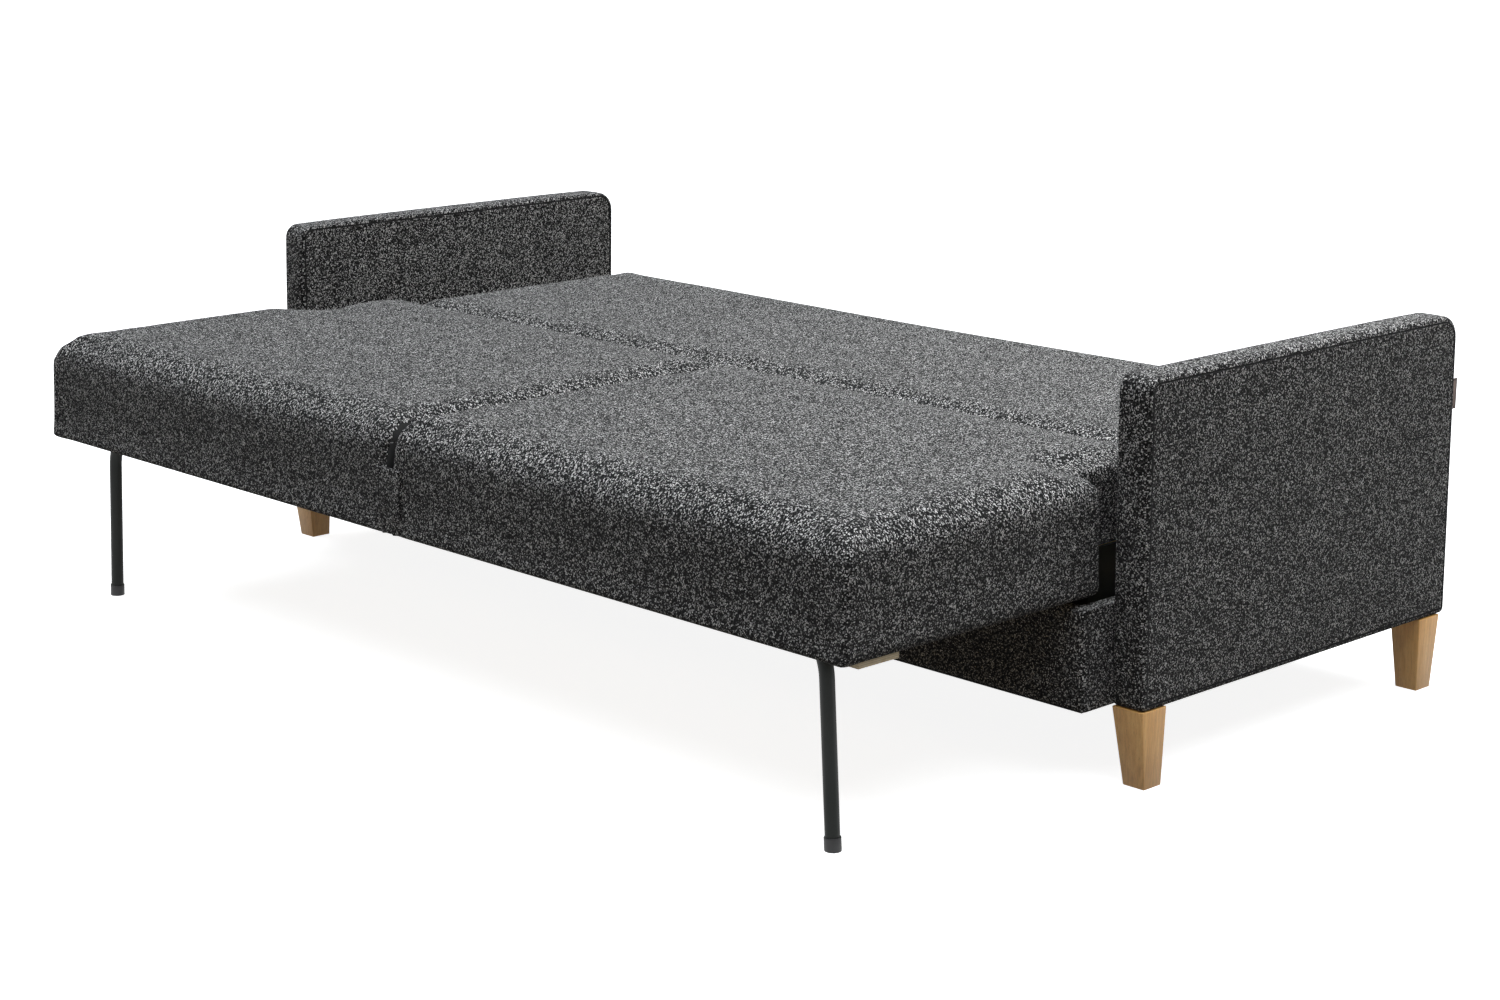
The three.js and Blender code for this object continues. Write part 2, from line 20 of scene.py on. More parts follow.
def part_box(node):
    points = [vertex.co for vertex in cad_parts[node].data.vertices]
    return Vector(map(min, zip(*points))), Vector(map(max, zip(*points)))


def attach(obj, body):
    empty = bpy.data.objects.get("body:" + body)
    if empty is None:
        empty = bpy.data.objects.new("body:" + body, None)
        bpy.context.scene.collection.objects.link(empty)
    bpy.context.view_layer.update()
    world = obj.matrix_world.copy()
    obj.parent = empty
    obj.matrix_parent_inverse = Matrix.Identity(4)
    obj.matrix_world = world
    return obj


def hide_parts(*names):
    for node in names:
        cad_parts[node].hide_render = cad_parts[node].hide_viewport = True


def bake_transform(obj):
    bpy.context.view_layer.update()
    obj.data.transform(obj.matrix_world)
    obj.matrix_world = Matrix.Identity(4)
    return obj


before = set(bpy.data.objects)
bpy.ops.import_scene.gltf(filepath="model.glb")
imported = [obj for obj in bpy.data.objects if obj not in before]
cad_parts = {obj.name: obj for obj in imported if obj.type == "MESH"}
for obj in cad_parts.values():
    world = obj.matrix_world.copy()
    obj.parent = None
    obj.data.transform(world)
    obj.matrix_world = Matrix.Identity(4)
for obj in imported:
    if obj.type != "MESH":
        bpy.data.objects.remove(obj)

logging.basicConfig(level=logging.INFO, format="%(message)s")
LOG = logging.getLogger("sofa_bed")

MM = 0.001
WEAVE_MAP = "weave"
SHARP_EDGE = 50  # degrees between two faces from which a hard piece's edge is broken
FRONT_BOARD_SETBACK = 23 * MM  # the front board stops short of the cushions' rounded corners

Point = tuple[float, float, float]
Test = Callable[[Any], bool]


class Axis(Enum):
    """The direction that an edge, a board's grain or a cut follows."""

    X = 0
    Y = 1
    Z = 2


class Side(Enum):
    """The two ends of the bed, with their sign along X."""

    LEFT = -1
    RIGHT = 1

    @property
    def label(self) -> str:
        """The side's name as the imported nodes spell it."""
        return self.name.lower()


# ------------------------------------------------------------------ modelling helpers


def deselect() -> None:
    """Leave nothing selected, so that an operator meets only what is chosen after it."""
    bpy.ops.object.select_all(action="DESELECT")


def activate(piece: bpy.types.Object) -> None:
    """Make the piece the only selected object and the active one."""
    deselect()
    piece.select_set(True)
    bpy.context.view_layer.objects.active = piece


@contextmanager
def editing(piece: bpy.types.Object, kind: str = "FACE", whole: bool = False) -> Iterator[None]:
    """Open the piece in edit mode.

    Args:
        piece: the mesh object to edit.
        kind: the selection mode, VERT, EDGE or FACE.
        whole: select the whole mesh instead of nothing.
    """
    activate(piece)
    bpy.ops.object.mode_set(mode="EDIT")
    bpy.ops.mesh.select_mode(type=kind)
    bpy.ops.mesh.select_all(action="SELECT" if whole else "DESELECT")
    try:
        yield
    finally:
        bpy.ops.object.mode_set(mode="OBJECT")


def choose(piece: bpy.types.Object, items: str, test: Test) -> None:
    """Select the verts, edges or faces of a piece in edit mode that pass a test.

    Args:
        piece: the object being edited.
        items: verts, edges or faces.
        test: says of one item whether it is wanted.
    """
    shape = bmesh.from_edit_mesh(piece.data)
    for item in [item for item in getattr(shape, items) if test(item)]:
        item.select_set(True)
    shape.select_flush_mode()
    bmesh.update_edit_mesh(piece.data)


def bevel_edges(piece: bpy.types.Object, test: Test, radius: float, segments: int) -> None:
    """Round the edges of a piece that pass a test."""
    with editing(piece, "EDGE"):
        choose(piece, "edges", test)
        bpy.ops.mesh.bevel(offset=radius, segments=segments)


def assign_slot(piece: bpy.types.Object, slot: int) -> None:
    """Give the selected faces of a piece in edit mode one of its materials."""
    piece.active_material_index = slot
    bpy.ops.object.material_slot_assign()


def middle(item: Any) -> Vector:
    """The middle of an edge or a face."""
    points = [vert.co for vert in item.verts]
    return sum(points, Vector()) / len(points)


def runs_along(edge: Any, axis: Axis) -> bool:
    """Whether an edge runs along an axis."""
    reach = edge.verts[1].co - edge.verts[0].co
    return abs(reach[axis.value]) > 0.99 * reach.length


def block(name: str, low: Point, high: Point) -> bpy.types.Object:
    """A box between two corners, with its place in its mesh."""
    deselect()
    lowest, highest = Vector(low), Vector(high)
    bpy.ops.mesh.primitive_cube_add(size=1, location=(lowest + highest) / 2, scale=highest - lowest)
    piece = bpy.context.object
    piece.name = piece.data.name = name
    bpy.ops.object.transform_apply(location=True, rotation=True, scale=True)
    return piece


def apply_modifier(piece: bpy.types.Object, kind: str, **settings: Any) -> None:
    """Add a modifier with its settings and apply it."""
    activate(piece)
    modifier = piece.modifiers.new(kind.lower(), kind)
    for key, value in settings.items():
        setattr(modifier, key, value)
    bpy.ops.object.modifier_apply(modifier=modifier.name)


def carve(piece: bpy.types.Object, low: Point, high: Point, solver: str = "EXACT") -> None:
    """Cut a box out of a piece."""
    cutter = block("cutter", low, high)
    apply_modifier(piece, "BOOLEAN", operation="DIFFERENCE", object=cutter, solver=solver)
    bpy.data.meshes.remove(cutter.data)


def cut_levels(piece: bpy.types.Object, axis: Axis, levels: list[float]) -> None:
    """Cut the whole surface across an axis at several levels, without parting it."""
    normal = [0.0, 0.0, 0.0]
    normal[axis.value] = 1.0
    with editing(piece):
        for level in levels:
            bpy.ops.mesh.select_all(action="SELECT")
            bpy.ops.mesh.bisect(plane_co=[level * n for n in normal], plane_no=normal)


def between(low: float, high: float, step: float) -> list[float]:
    """Evenly spaced levels strictly between two ends, about a step apart."""
    count = max(1, round((high - low) / step))
    return [low + (high - low) * i / count for i in range(1, count)]


def smooth(piece: bpy.types.Object, degrees: float = 40) -> None:
    """Turn the faces outwards and shade smoothly over edges blunter than an angle."""
    with editing(piece, whole=True):
        bpy.ops.mesh.normals_make_consistent(inside=False)
    activate(piece)
    bpy.ops.object.shade_smooth_by_angle(angle=math.radians(degrees))


def lay_weave(piece: bpy.types.Object) -> None:
    """Give the piece a weave map in metres, laid on it from the six sides."""
    layers = piece.data.uv_layers
    while layers:
        layers.remove(layers[0])
    layers.new(name=WEAVE_MAP)
    with editing(piece, whole=True):
        bpy.ops.uv.cube_project(cube_size=1.0, correct_aspect=False)


def copy_node(name: str, node: str) -> bpy.types.Object:
    """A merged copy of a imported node, free to be shaped."""
    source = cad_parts[node]
    piece = bpy.data.objects.new(name, source.data.copy())
    piece.data.name = name
    bpy.context.scene.collection.objects.link(piece)
    with editing(piece, whole=True):
        bpy.ops.mesh.remove_doubles(threshold=0.02 * MM)
        bpy.ops.mesh.tris_convert_to_quads()
    return piece


def clothe(piece: bpy.types.Object, material: bpy.types.Material) -> None:
    """Make a material the piece's only one."""
    piece.data.materials.clear()
    piece.data.materials.append(material)


def ease_edges(piece: bpy.types.Object, radius: float) -> None:
    """Break a hard piece's sharp edges by a small radius."""
    apply_modifier(piece, "BEVEL", width=radius, segments=3, limit_method="ANGLE",
                   angle_limit=math.radians(SHARP_EDGE))


def hand_over(piece: bpy.types.Object, slot: str, body: str, *nodes: str) -> None:
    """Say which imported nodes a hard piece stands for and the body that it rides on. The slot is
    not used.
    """
    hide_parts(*nodes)
    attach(piece, body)
    LOG.info("%s: %d faces", piece.name, len(piece.data.polygons))


def points_of(piece: bpy.types.Object) -> np.ndarray:
    """The vertex positions of a piece, one row each."""
    flat = np.empty(len(piece.data.vertices) * 3)
    piece.data.vertices.foreach_get("co", flat)
    return flat.reshape(-1, 3)


def move_points(piece: bpy.types.Object, points: np.ndarray) -> None:
    """Put the vertices of a piece at new positions."""
    piece.data.vertices.foreach_set("co", points.ravel())
    piece.data.update()


def ease(share: np.ndarray) -> np.ndarray:
    """Rise smoothly from nothing at zero to one at one."""
    held = np.clip(share, 0, 1)
    return held * held * (3 - 2 * held)


def dropped(distance: np.ndarray, radius: float) -> np.ndarray:
    """How far an edge of some radius has rounded off at a distance in from it."""
    across = np.clip(1 - distance / radius, 0, 1)
    return radius * (1 - np.sqrt(1 - across ** 2))


def bump_curve(place: np.ndarray, low: float, high: float, power: float = 4) -> np.ndarray:
    """One in the middle of a span, falling to nothing at its ends."""
    across = np.clip((place - low) / (high - low), 0, 1) * 2 - 1
    return 1 - np.abs(across) ** power


# ------------------------------------------------------------------ finishes


def linear(shade: str) -> tuple[float, float, float, float]:
    """Turn an sRGB hex value into a linear colour."""
    parts = [int(shade[i : i + 2], 16) / 255 for i in (1, 3, 5)]
    parts = [p / 12.92 if p <= 0.04045 else ((p + 0.055) / 1.055) ** 2.4 for p in parts]
    return (*parts, 1.0)


class Finish:
    """A material under construction, with its node tree and its surface shader."""

    def __init__(self, name: str, **surface: Any) -> None:
        """Start a material.

        Args:
            name: what the real material is.
            surface: constants for the shader's own sockets, with _ for each space.
        """
        self.material = bpy.data.materials.new(name)
        self.material.use_nodes = True
        self.tree = self.material.node_tree
        self.surface = self.tree.nodes["Principled BSDF"]
        for key, value in surface.items():
            self.surface.inputs[key.replace("_", " ")].default_value = value

    def add(self, kind: str, inputs: dict[Any, Any] | None = None, **settings: Any) -> Any:
        """Add a node.

        Args:
            kind: the node's type, without ShaderNode.
            inputs: a value or a socket for each input, by name or place.
            settings: the node's own options.

        Returns:
            The new node.
        """
        node = self.tree.nodes.new("ShaderNode" + kind)
        for key, value in settings.items():
            setattr(node, key, value)
        for key, value in (inputs or {}).items():
            if isinstance(value, bpy.types.NodeSocket):
                self.tree.links.new(value, node.inputs[key])
            else:
                node.inputs[key].default_value = value
        return node

    def maths(self, operation: str, *values: Any, kind: str = "Math") -> bpy.types.NodeSocket:
        """Work one sum, on numbers or with kind VectorMath on vectors, and return its result."""
        return self.add(kind, dict(enumerate(values)), operation=operation).outputs[0]

    def noise(self, place: bpy.types.NodeSocket, size: float, detail: float) -> Any:
        """Add a noise whose features are about a size across and return its node."""
        return self.add("TexNoise", {"Vector": place, "Scale": 1 / size, "Detail": detail})

    def spread(self, value: bpy.types.NodeSocket, low: float, high: float, start: float,
               end: float) -> bpy.types.NodeSocket:
        """Map a value from between two limits to between two others."""
        return self.add("MapRange", {0: value, 1: low, 2: high, 3: start, 4: end}).outputs[0]

    def shaded(self, colour: Any, share: bpy.types.NodeSocket) -> bpy.types.NodeSocket:
        """Make a colour lighter or darker by a share."""
        return self.add("VectorMath", {0: colour, "Scale": share}, operation="SCALE").outputs[0]

    def paint(self, **sockets: bpy.types.NodeSocket) -> bpy.types.Material:
        """Link outputs to the surface's sockets and hand over the material."""
        for key, value in sockets.items():
            self.tree.links.new(value, self.surface.inputs[key.replace("_", " ")])
        return self.material

    def ramp(self, factor: bpy.types.NodeSocket, stops: list[tuple[float, str]]) -> Any:
        """Add a colour ramp with sRGB hex stops and return its colour output."""
        node = self.add("ValToRGB", {0: factor})
        elements = node.color_ramp.elements
        while len(elements) < len(stops):
            elements.new(0.5)
        for element, (place, shade) in zip(elements, stops):
            element.position = place
            element.color = linear(shade)
        return node.outputs["Color"]


@dataclass(frozen=True)
class Tweed:
    """Wool-blend tweed upholstery cloth, plain-woven of black, grey and pale yarns.

    Each crossing of two yarns takes one shade, which gives the salt-and-pepper grain, and the
    raised yarns give the cloth its fine pebbled surface, with painted shade darkening the colour
    between them. The yarn is drawn a little coarser than the usual 1.5 mm so that its grain
    still shows over a whole bed.
    """

    name: str = "woven_tweed"
    yarn: float = 1.8 * MM
    wander: float = 0.7 * MM
    slub: float = 5.0 * MM
    relief: float = 0.7 * MM
    shades: tuple[tuple[float, str], ...] = (
        (0.1, "#040404"), (0.5, "#101010"), (0.66, "#444443"), (0.8, "#a2a19f"),
        (0.92, "#e6e5e2"),
    )

    def build(self) -> bpy.types.Material:
        """Build the cloth's material."""
        cloth = Finish(self.name, Roughness=0.95, Specular_IOR_Level=0.05, Sheen_Weight=0.05,
                       Sheen_Roughness=0.6)
        place = cloth.add("UVMap", uv_map=WEAVE_MAP).outputs["UV"]
        drift = cloth.noise(place, 9 * MM, 1.0).outputs["Color"]
        centred = cloth.maths("SUBTRACT", drift, (0.5, 0.5, 0.5), kind="VectorMath")
        shift = cloth.maths("MULTIPLY", centred, (2 * self.wander,) * 3, kind="VectorMath")
        bent = cloth.maths("ADD", place, shift, kind="VectorMath")
        count = 1 / self.yarn
        threads = cloth.maths("MULTIPLY", bent, (count, count, 0.0), kind="VectorMath")
        cell = cloth.maths("FLOOR", threads, kind="VectorMath")
        inside = cloth.maths("FRACTION", threads, kind="VectorMath")
        column = cloth.add("SeparateXYZ", {0: cell})
        part = cloth.add("SeparateXYZ", {0: inside})
        total = cloth.maths("ADD", column.outputs["X"], column.outputs["Y"])
        over = cloth.maths("FLOORED_MODULO", total, 2.0)
        arches = []
        for first, second in (("X", "Y"), ("Y", "X")):
            way = cloth.add("Mix", {0: over, 2: part.outputs[first], 3: part.outputs[second]})
            turn = cloth.maths("MULTIPLY", way.outputs[0], math.pi)
            arches.append(cloth.maths("SINE", turn))
        crest = cloth.maths("MULTIPLY_ADD", arches[1], 0.45, 0.55)
        height = cloth.maths("MULTIPLY", arches[0], crest)

        pick = cloth.add("TexWhiteNoise", {"Vector": cell}, noise_dimensions="3D")
        fibre = cloth.noise(place, 0.9 * MM, 2.0).outputs["Fac"]
        # Slubs, thicker places in the yarn, gather the flecks into short light and dark runs.
        slub = cloth.spread(cloth.noise(bent, self.slub, 1.0).outputs["Fac"], 0.34, 0.66, 0.0, 1.0)
        fine = cloth.add("Mix", {0: 0.12, 2: pick.outputs["Value"], 3: fibre})
        fleck = cloth.add("Mix", {0: 0.06, 2: fine.outputs[0], 3: slub})
        shade = cloth.ramp(fleck.outputs[0], list(self.shades))
        cloud = cloth.spread(cloth.noise(place, 70 * MM, 3.0).outputs["Fac"], 0.3, 0.7, 0.92, 1.08)
        # Painted shade: the colour darkens between the raised yarns, where shade would fall.
        painted_yarn_shade = cloth.spread(height, 0.0, 0.7, 0.5, 1.0)
        colour = cloth.shaded(shade, cloth.maths("MULTIPLY", cloud, painted_yarn_shade))
        fuzz = cloth.maths("MULTIPLY_ADD", fibre, 0.3, height)
        raised = cloth.add("Bump", {"Strength": 0.7, "Distance": self.relief, "Height": fuzz})
        return cloth.paint(Base_Color=colour, Normal=raised.outputs[0])


@dataclass(frozen=True)
class Wood:
    """Planed timber, with its rings drawn out along the grain and short dark pores between them."""

    name: str
    grain: Axis
    shades: tuple[tuple[float, str], ...]
    ring: float
    roughness: float
    pore_depth: float = 0.15
    layers: float = 0.0

    def build(self) -> bpy.types.Material:
        """Build the timber's material."""
        wood = Finish(self.name, Roughness=self.roughness, Coat_Weight=0.08, Coat_Roughness=0.35)
        texture = wood.add("TexCoord")
        place = texture.outputs["Object"]

        def stretched(width: float, length: float) -> Any:
            """Object place counted in grain widths across and lengths along the grain."""
            scale = [1 / width] * 3
            scale[self.grain.value] = 1 / length
            return wood.maths("MULTIPLY", place, scale, kind="VectorMath")

        ring = wood.add("TexNoise", {"Vector": stretched(self.ring, 45 * self.ring), "Scale": 1.0,
                                     "Detail": 4.0, "Roughness": 0.6, "Distortion": 0.3})
        pore = wood.noise(stretched(0.6 * MM, 14 * MM), 1.0, 2.0).outputs["Fac"]
        sweep = wood.noise(place, 80 * MM, 1.0).outputs["Fac"]
        mixed = wood.add("Mix", {0: 0.25, 2: ring.outputs["Fac"], 3: sweep})
        colour = wood.ramp(mixed.outputs[0], list(self.shades))
        if self.layers:
            # Plywood edges show the veneers as stripes a veneer thick.
            height = wood.add("SeparateXYZ", {0: place}).outputs["Z"]
            wave = wood.maths("SINE", wood.maths("MULTIPLY", height, math.pi / self.layers))
            stripe = wood.spread(wave, -0.2, 0.2, 0.72, 1.0)
            facing = wood.add("SeparateXYZ", {0: texture.outputs["Normal"]}).outputs["Z"]
            flat = wood.maths("ABSOLUTE", facing)
            tone = wood.add("Mix", {0: flat, 2: stripe, 3: 1.0})
            colour = wood.shaded(colour, tone.outputs[0])
        colour = wood.shaded(colour, wood.spread(pore, 0.32, 0.45, 1 - self.pore_depth, 1.0))
        raised = wood.add("Bump", {"Strength": 0.35, "Distance": 0.15 * MM, "Height": pore})
        return wood.paint(Base_Color=colour, Normal=raised.outputs[0])


@dataclass(frozen=True)
class Speckled:
    """A plain hard or felted material with a fine grain of its own.

    One noise of a real grain size varies the colour between two shades, the roughness a little,
    and raises the surface.
    """

    name: str
    low: str
    high: str
    grain: float
    relief: float
    roughness: tuple[float, float]
    metallic: float = 0.0
    specular: float = 0.5

    def build(self) -> bpy.types.Material:
        """Build the material."""
        skin = Finish(self.name, Metallic=self.metallic, Specular_IOR_Level=self.specular)
        place = skin.add("TexCoord").outputs["Object"]
        grain = skin.noise(place, self.grain, 4.0).outputs["Fac"]
        broad = skin.noise(place, 60 * self.grain, 2.0).outputs["Fac"]
        both = skin.add("Mix", {0: 0.4, 2: grain, 3: broad})
        colour = skin.ramp(both.outputs[0], [(0.35, self.low), (0.65, self.high)])
        rough = skin.spread(broad, 0.3, 0.7, *self.roughness)
        raised = skin.add("Bump", {"Strength": 0.5, "Distance": self.relief, "Height": grain})
        return skin.paint(Base_Color=colour, Roughness=rough, Normal=raised.outputs[0])


@dataclass(frozen=True)
class Ribbon:
    """Woven label ribbon, ribbed across by its picks, with painted shade in the hollows between the
    ribs.
    """

    name: str
    shade: str
    rib: float = 0.7 * MM

    def build(self) -> bpy.types.Material:
        """Build the ribbon's material."""
        ribbon = Finish(self.name, Roughness=0.8, Sheen_Weight=0.15)
        place = ribbon.add("TexCoord").outputs["Object"]
        rise = ribbon.add("SeparateXYZ", {0: place}).outputs["Z"]
        wave = ribbon.maths("SINE", ribbon.maths("MULTIPLY", rise, 2 * math.pi / self.rib))
        fibre = ribbon.noise(place, 1.5 * MM, 2.0).outputs["Fac"]
        # Painted shade: the colour is darker in the hollows between the ribs, following the same
        # wave as the bump.
        level = ribbon.spread(wave, -1.0, 1.0, 0.75, 1.0)
        tone = ribbon.maths("MULTIPLY_ADD", level, fibre, 0.25)
        colour = ribbon.shaded(linear(self.shade)[:3], tone)
        raised = ribbon.add("Bump", {"Strength": 0.6, "Distance": 0.2 * MM, "Height": wave})
        return ribbon.paint(Base_Color=colour, Normal=raised.outputs[0])


@dataclass
class Finishes:
    """Every material of the sofa bed, built once."""

    tweed: bpy.types.Material = field(init=False)
    made: dict[str, bpy.types.Material] = field(default_factory=dict)

    def __post_init__(self) -> None:
        """Build the materials."""
        self.tweed = Tweed().build()
        oak = ((0.3, "#be8b4c"), (0.5, "#d9a35c"), (0.68, "#e6b76f"))
        pine = ((0.32, "#c9a873"), (0.5, "#dcc18f"), (0.7, "#e6d0a4"))
        birch = ((0.3, "#cbb287"), (0.5, "#dac59c"), (0.7, "#e5d4b1"))
        recipes: list[Any] = [
            # Oiled oak: honey brown, with rings that stand close and short open pores.
            Wood("oiled_oak", Axis.Z, oak, 3.5 * MM, 0.48, 0.22),
            # Sawn pine: pale, with wide soft rings.
            Wood("planed_pine_x", Axis.X, pine, 7 * MM, 0.62, 0.08),
            Wood("planed_pine_y", Axis.Y, pine, 7 * MM, 0.62, 0.08),
            # Birch plywood: a pale even face, with darker veneer stripes on its edges.
            Wood("birch_plywood", Axis.X, birch, 9 * MM, 0.55, 0.06, layers=1.5 * MM),
            # Powder-coated steel: satin, near black, with a faint orange-peel surface.
            Speckled("powder_coated_steel", "#161916", "#1e211e", 1.6 * MM, 0.06 * MM, (0.4, 0.52),
                     specular=0.2),
            # Bright zinc plate: grey metal with soft cloudy patches from the bath.
            Speckled("zinc_plated_steel", "#9a9ea3", "#b9bdc1", 0.9 * MM, 0.03 * MM, (0.3, 0.45),
                     metallic=1.0),
            # Moulded nylon: black with a fine spark-eroded grain.
            Speckled("moulded_nylon", "#1a1a1b", "#242425", 0.7 * MM, 0.05 * MM, (0.42, 0.55)),
            # Spun-bonded lining: matt black felt of fine fibres.
            Speckled("spun_lining", "#131314", "#232324", 1.2 * MM, 0.25 * MM, (0.9, 1.0)),
            # Painted seam shade: near-black, laid into the seam grooves of the arms and the joint
            # between the seat cushions, standing in for the shade in those creases.
            Speckled("painted_seam_shade", "#080808", "#141413", 0.6 * MM, 0.1 * MM, (0.8, 0.95)),
            # The label is a brown ribbon with a lighter blank middle.
            Ribbon("label_ribbon", "#4a3429"),
            Ribbon("label_middle", "#8d7468"),
        ]
        for recipe in recipes:
            self.made[recipe.name] = recipe.build()


# ------------------------------------------------------------------ upholstery


@dataclass
class Upholstery:
    """A padded block: its edges rounded, its cloth swollen by the filling and sewn with a seam."""

    finishes: Finishes
    voxel: float = 11 * MM
    pressure: float = 4.0
    frames: int = 20
    seam_width: float = 1.6 * MM
    seam_depth: float = 1.2 * MM
    tacked_height: float = 8 * MM
    loose: float = 0.3 * MM

    def round_over(self, pad: bpy.types.Object, radius: Callable[[Vector, Axis], float],
                   widest: float) -> None:
        """Round each straight edge of a pad by a radius of its own.

        Args:
            pad: the pad as a sharp block.
            radius: gives an edge's radius from its middle and its direction.
            widest: the largest of the radii.
        """
        mesh = pad.data
        weights = mesh.attributes.new("bevel_weight_edge", "FLOAT", "EDGE")
        for edge in mesh.edges:
            first, last = (mesh.vertices[i].co for i in edge.vertices)
            reach = last - first
            axis = Axis(max(range(3), key=lambda i: abs(reach[i])))
            weights.data[edge.index].value = radius((first + last) / 2, axis) / widest
        apply_modifier(pad, "BEVEL", limit_method="WEIGHT", width=widest, segments=7,
                       use_clamp_overlap=False)
        apply_modifier(pad, "REMESH", mode="VOXEL", voxel_size=self.voxel)

    def swell(self, pad: bpy.types.Object, bottom: float, cap: Point) -> None:
        """Let the filling press the cloth outwards, as far as a cap along each axis.

        Args:
            pad: the rounded and remeshed pad.
            bottom: the height of its lower edge, along which the cloth is tacked down.
            cap: the most that a point may move along X, Y and Z.
        """
        start = points_of(pad)
        held = np.flatnonzero(start[:, 2] < bottom + self.tacked_height)
        tacked = pad.vertex_groups.new(name="tacked")
        tacked.add(held.tolist(), 1.0, "REPLACE")
        cloth = pad.modifiers.new("filling", "CLOTH")
        rules = cloth.settings
        rules.quality = 4
        rules.mass = 0.3
        rules.vertex_group_mass = "tacked"
        rules.use_pressure = True
        rules.uniform_pressure_force = self.pressure
        rules.effector_weights.gravity = 0
        cloth.point_cache.frame_end = self.frames
        for step in range(1, self.frames + 1):
            bpy.context.scene.frame_set(step)
        ready = pad.evaluated_get(bpy.context.evaluated_depsgraph_get())
        swollen = np.empty(len(ready.data.vertices) * 3)
        ready.data.vertices.foreach_get("co", swollen)
        pad.modifiers.remove(cloth)
        bpy.context.scene.frame_set(1)
        pad.vertex_groups.clear()
        moved = swollen.reshape(-1, 3) - start
        limit = np.array(cap)
        LOG.info("%s swells by %s mm before the cap", pad.name,
                 np.round(np.abs(moved).max(0) / MM, 1).tolist())
        move_points(pad, start + limit * np.tanh(moved / limit))
        apply_modifier(pad, "SMOOTH", factor=0.5, iterations=4)
        apply_modifier(pad, "SUBSURF", levels=1, render_levels=1)

    def sew(self, pad: bpy.types.Object, level: float) -> None:
        """Sew a seam round the pad at one height, as a fine crease."""
        half = self.seam_width / 2
        cut_levels(pad, Axis.Z, [level - half, level, level + half])
        with editing(pad, "VERT"):
            choose(pad, "verts", lambda vert: abs(vert.co.z - level) < 0.05 * half)
            bpy.ops.transform.shrink_fatten(value=-self.seam_depth)

    def dress(self, pad: bpy.types.Object, body: str, nodes: list[str], fill: float,
              degrees: float = 50) -> None:
        """Finish a pad in tweed and say what it rides on and stands for."""
        smooth(pad, degrees)
        lay_weave(pad)
        if not any(pad.data.materials):
            clothe(pad, self.finishes.tweed)
        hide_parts(*nodes)
        if body:
            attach(pad, body)
        LOG.info("%s: %d faces", pad.name, len(pad.data.polygons))


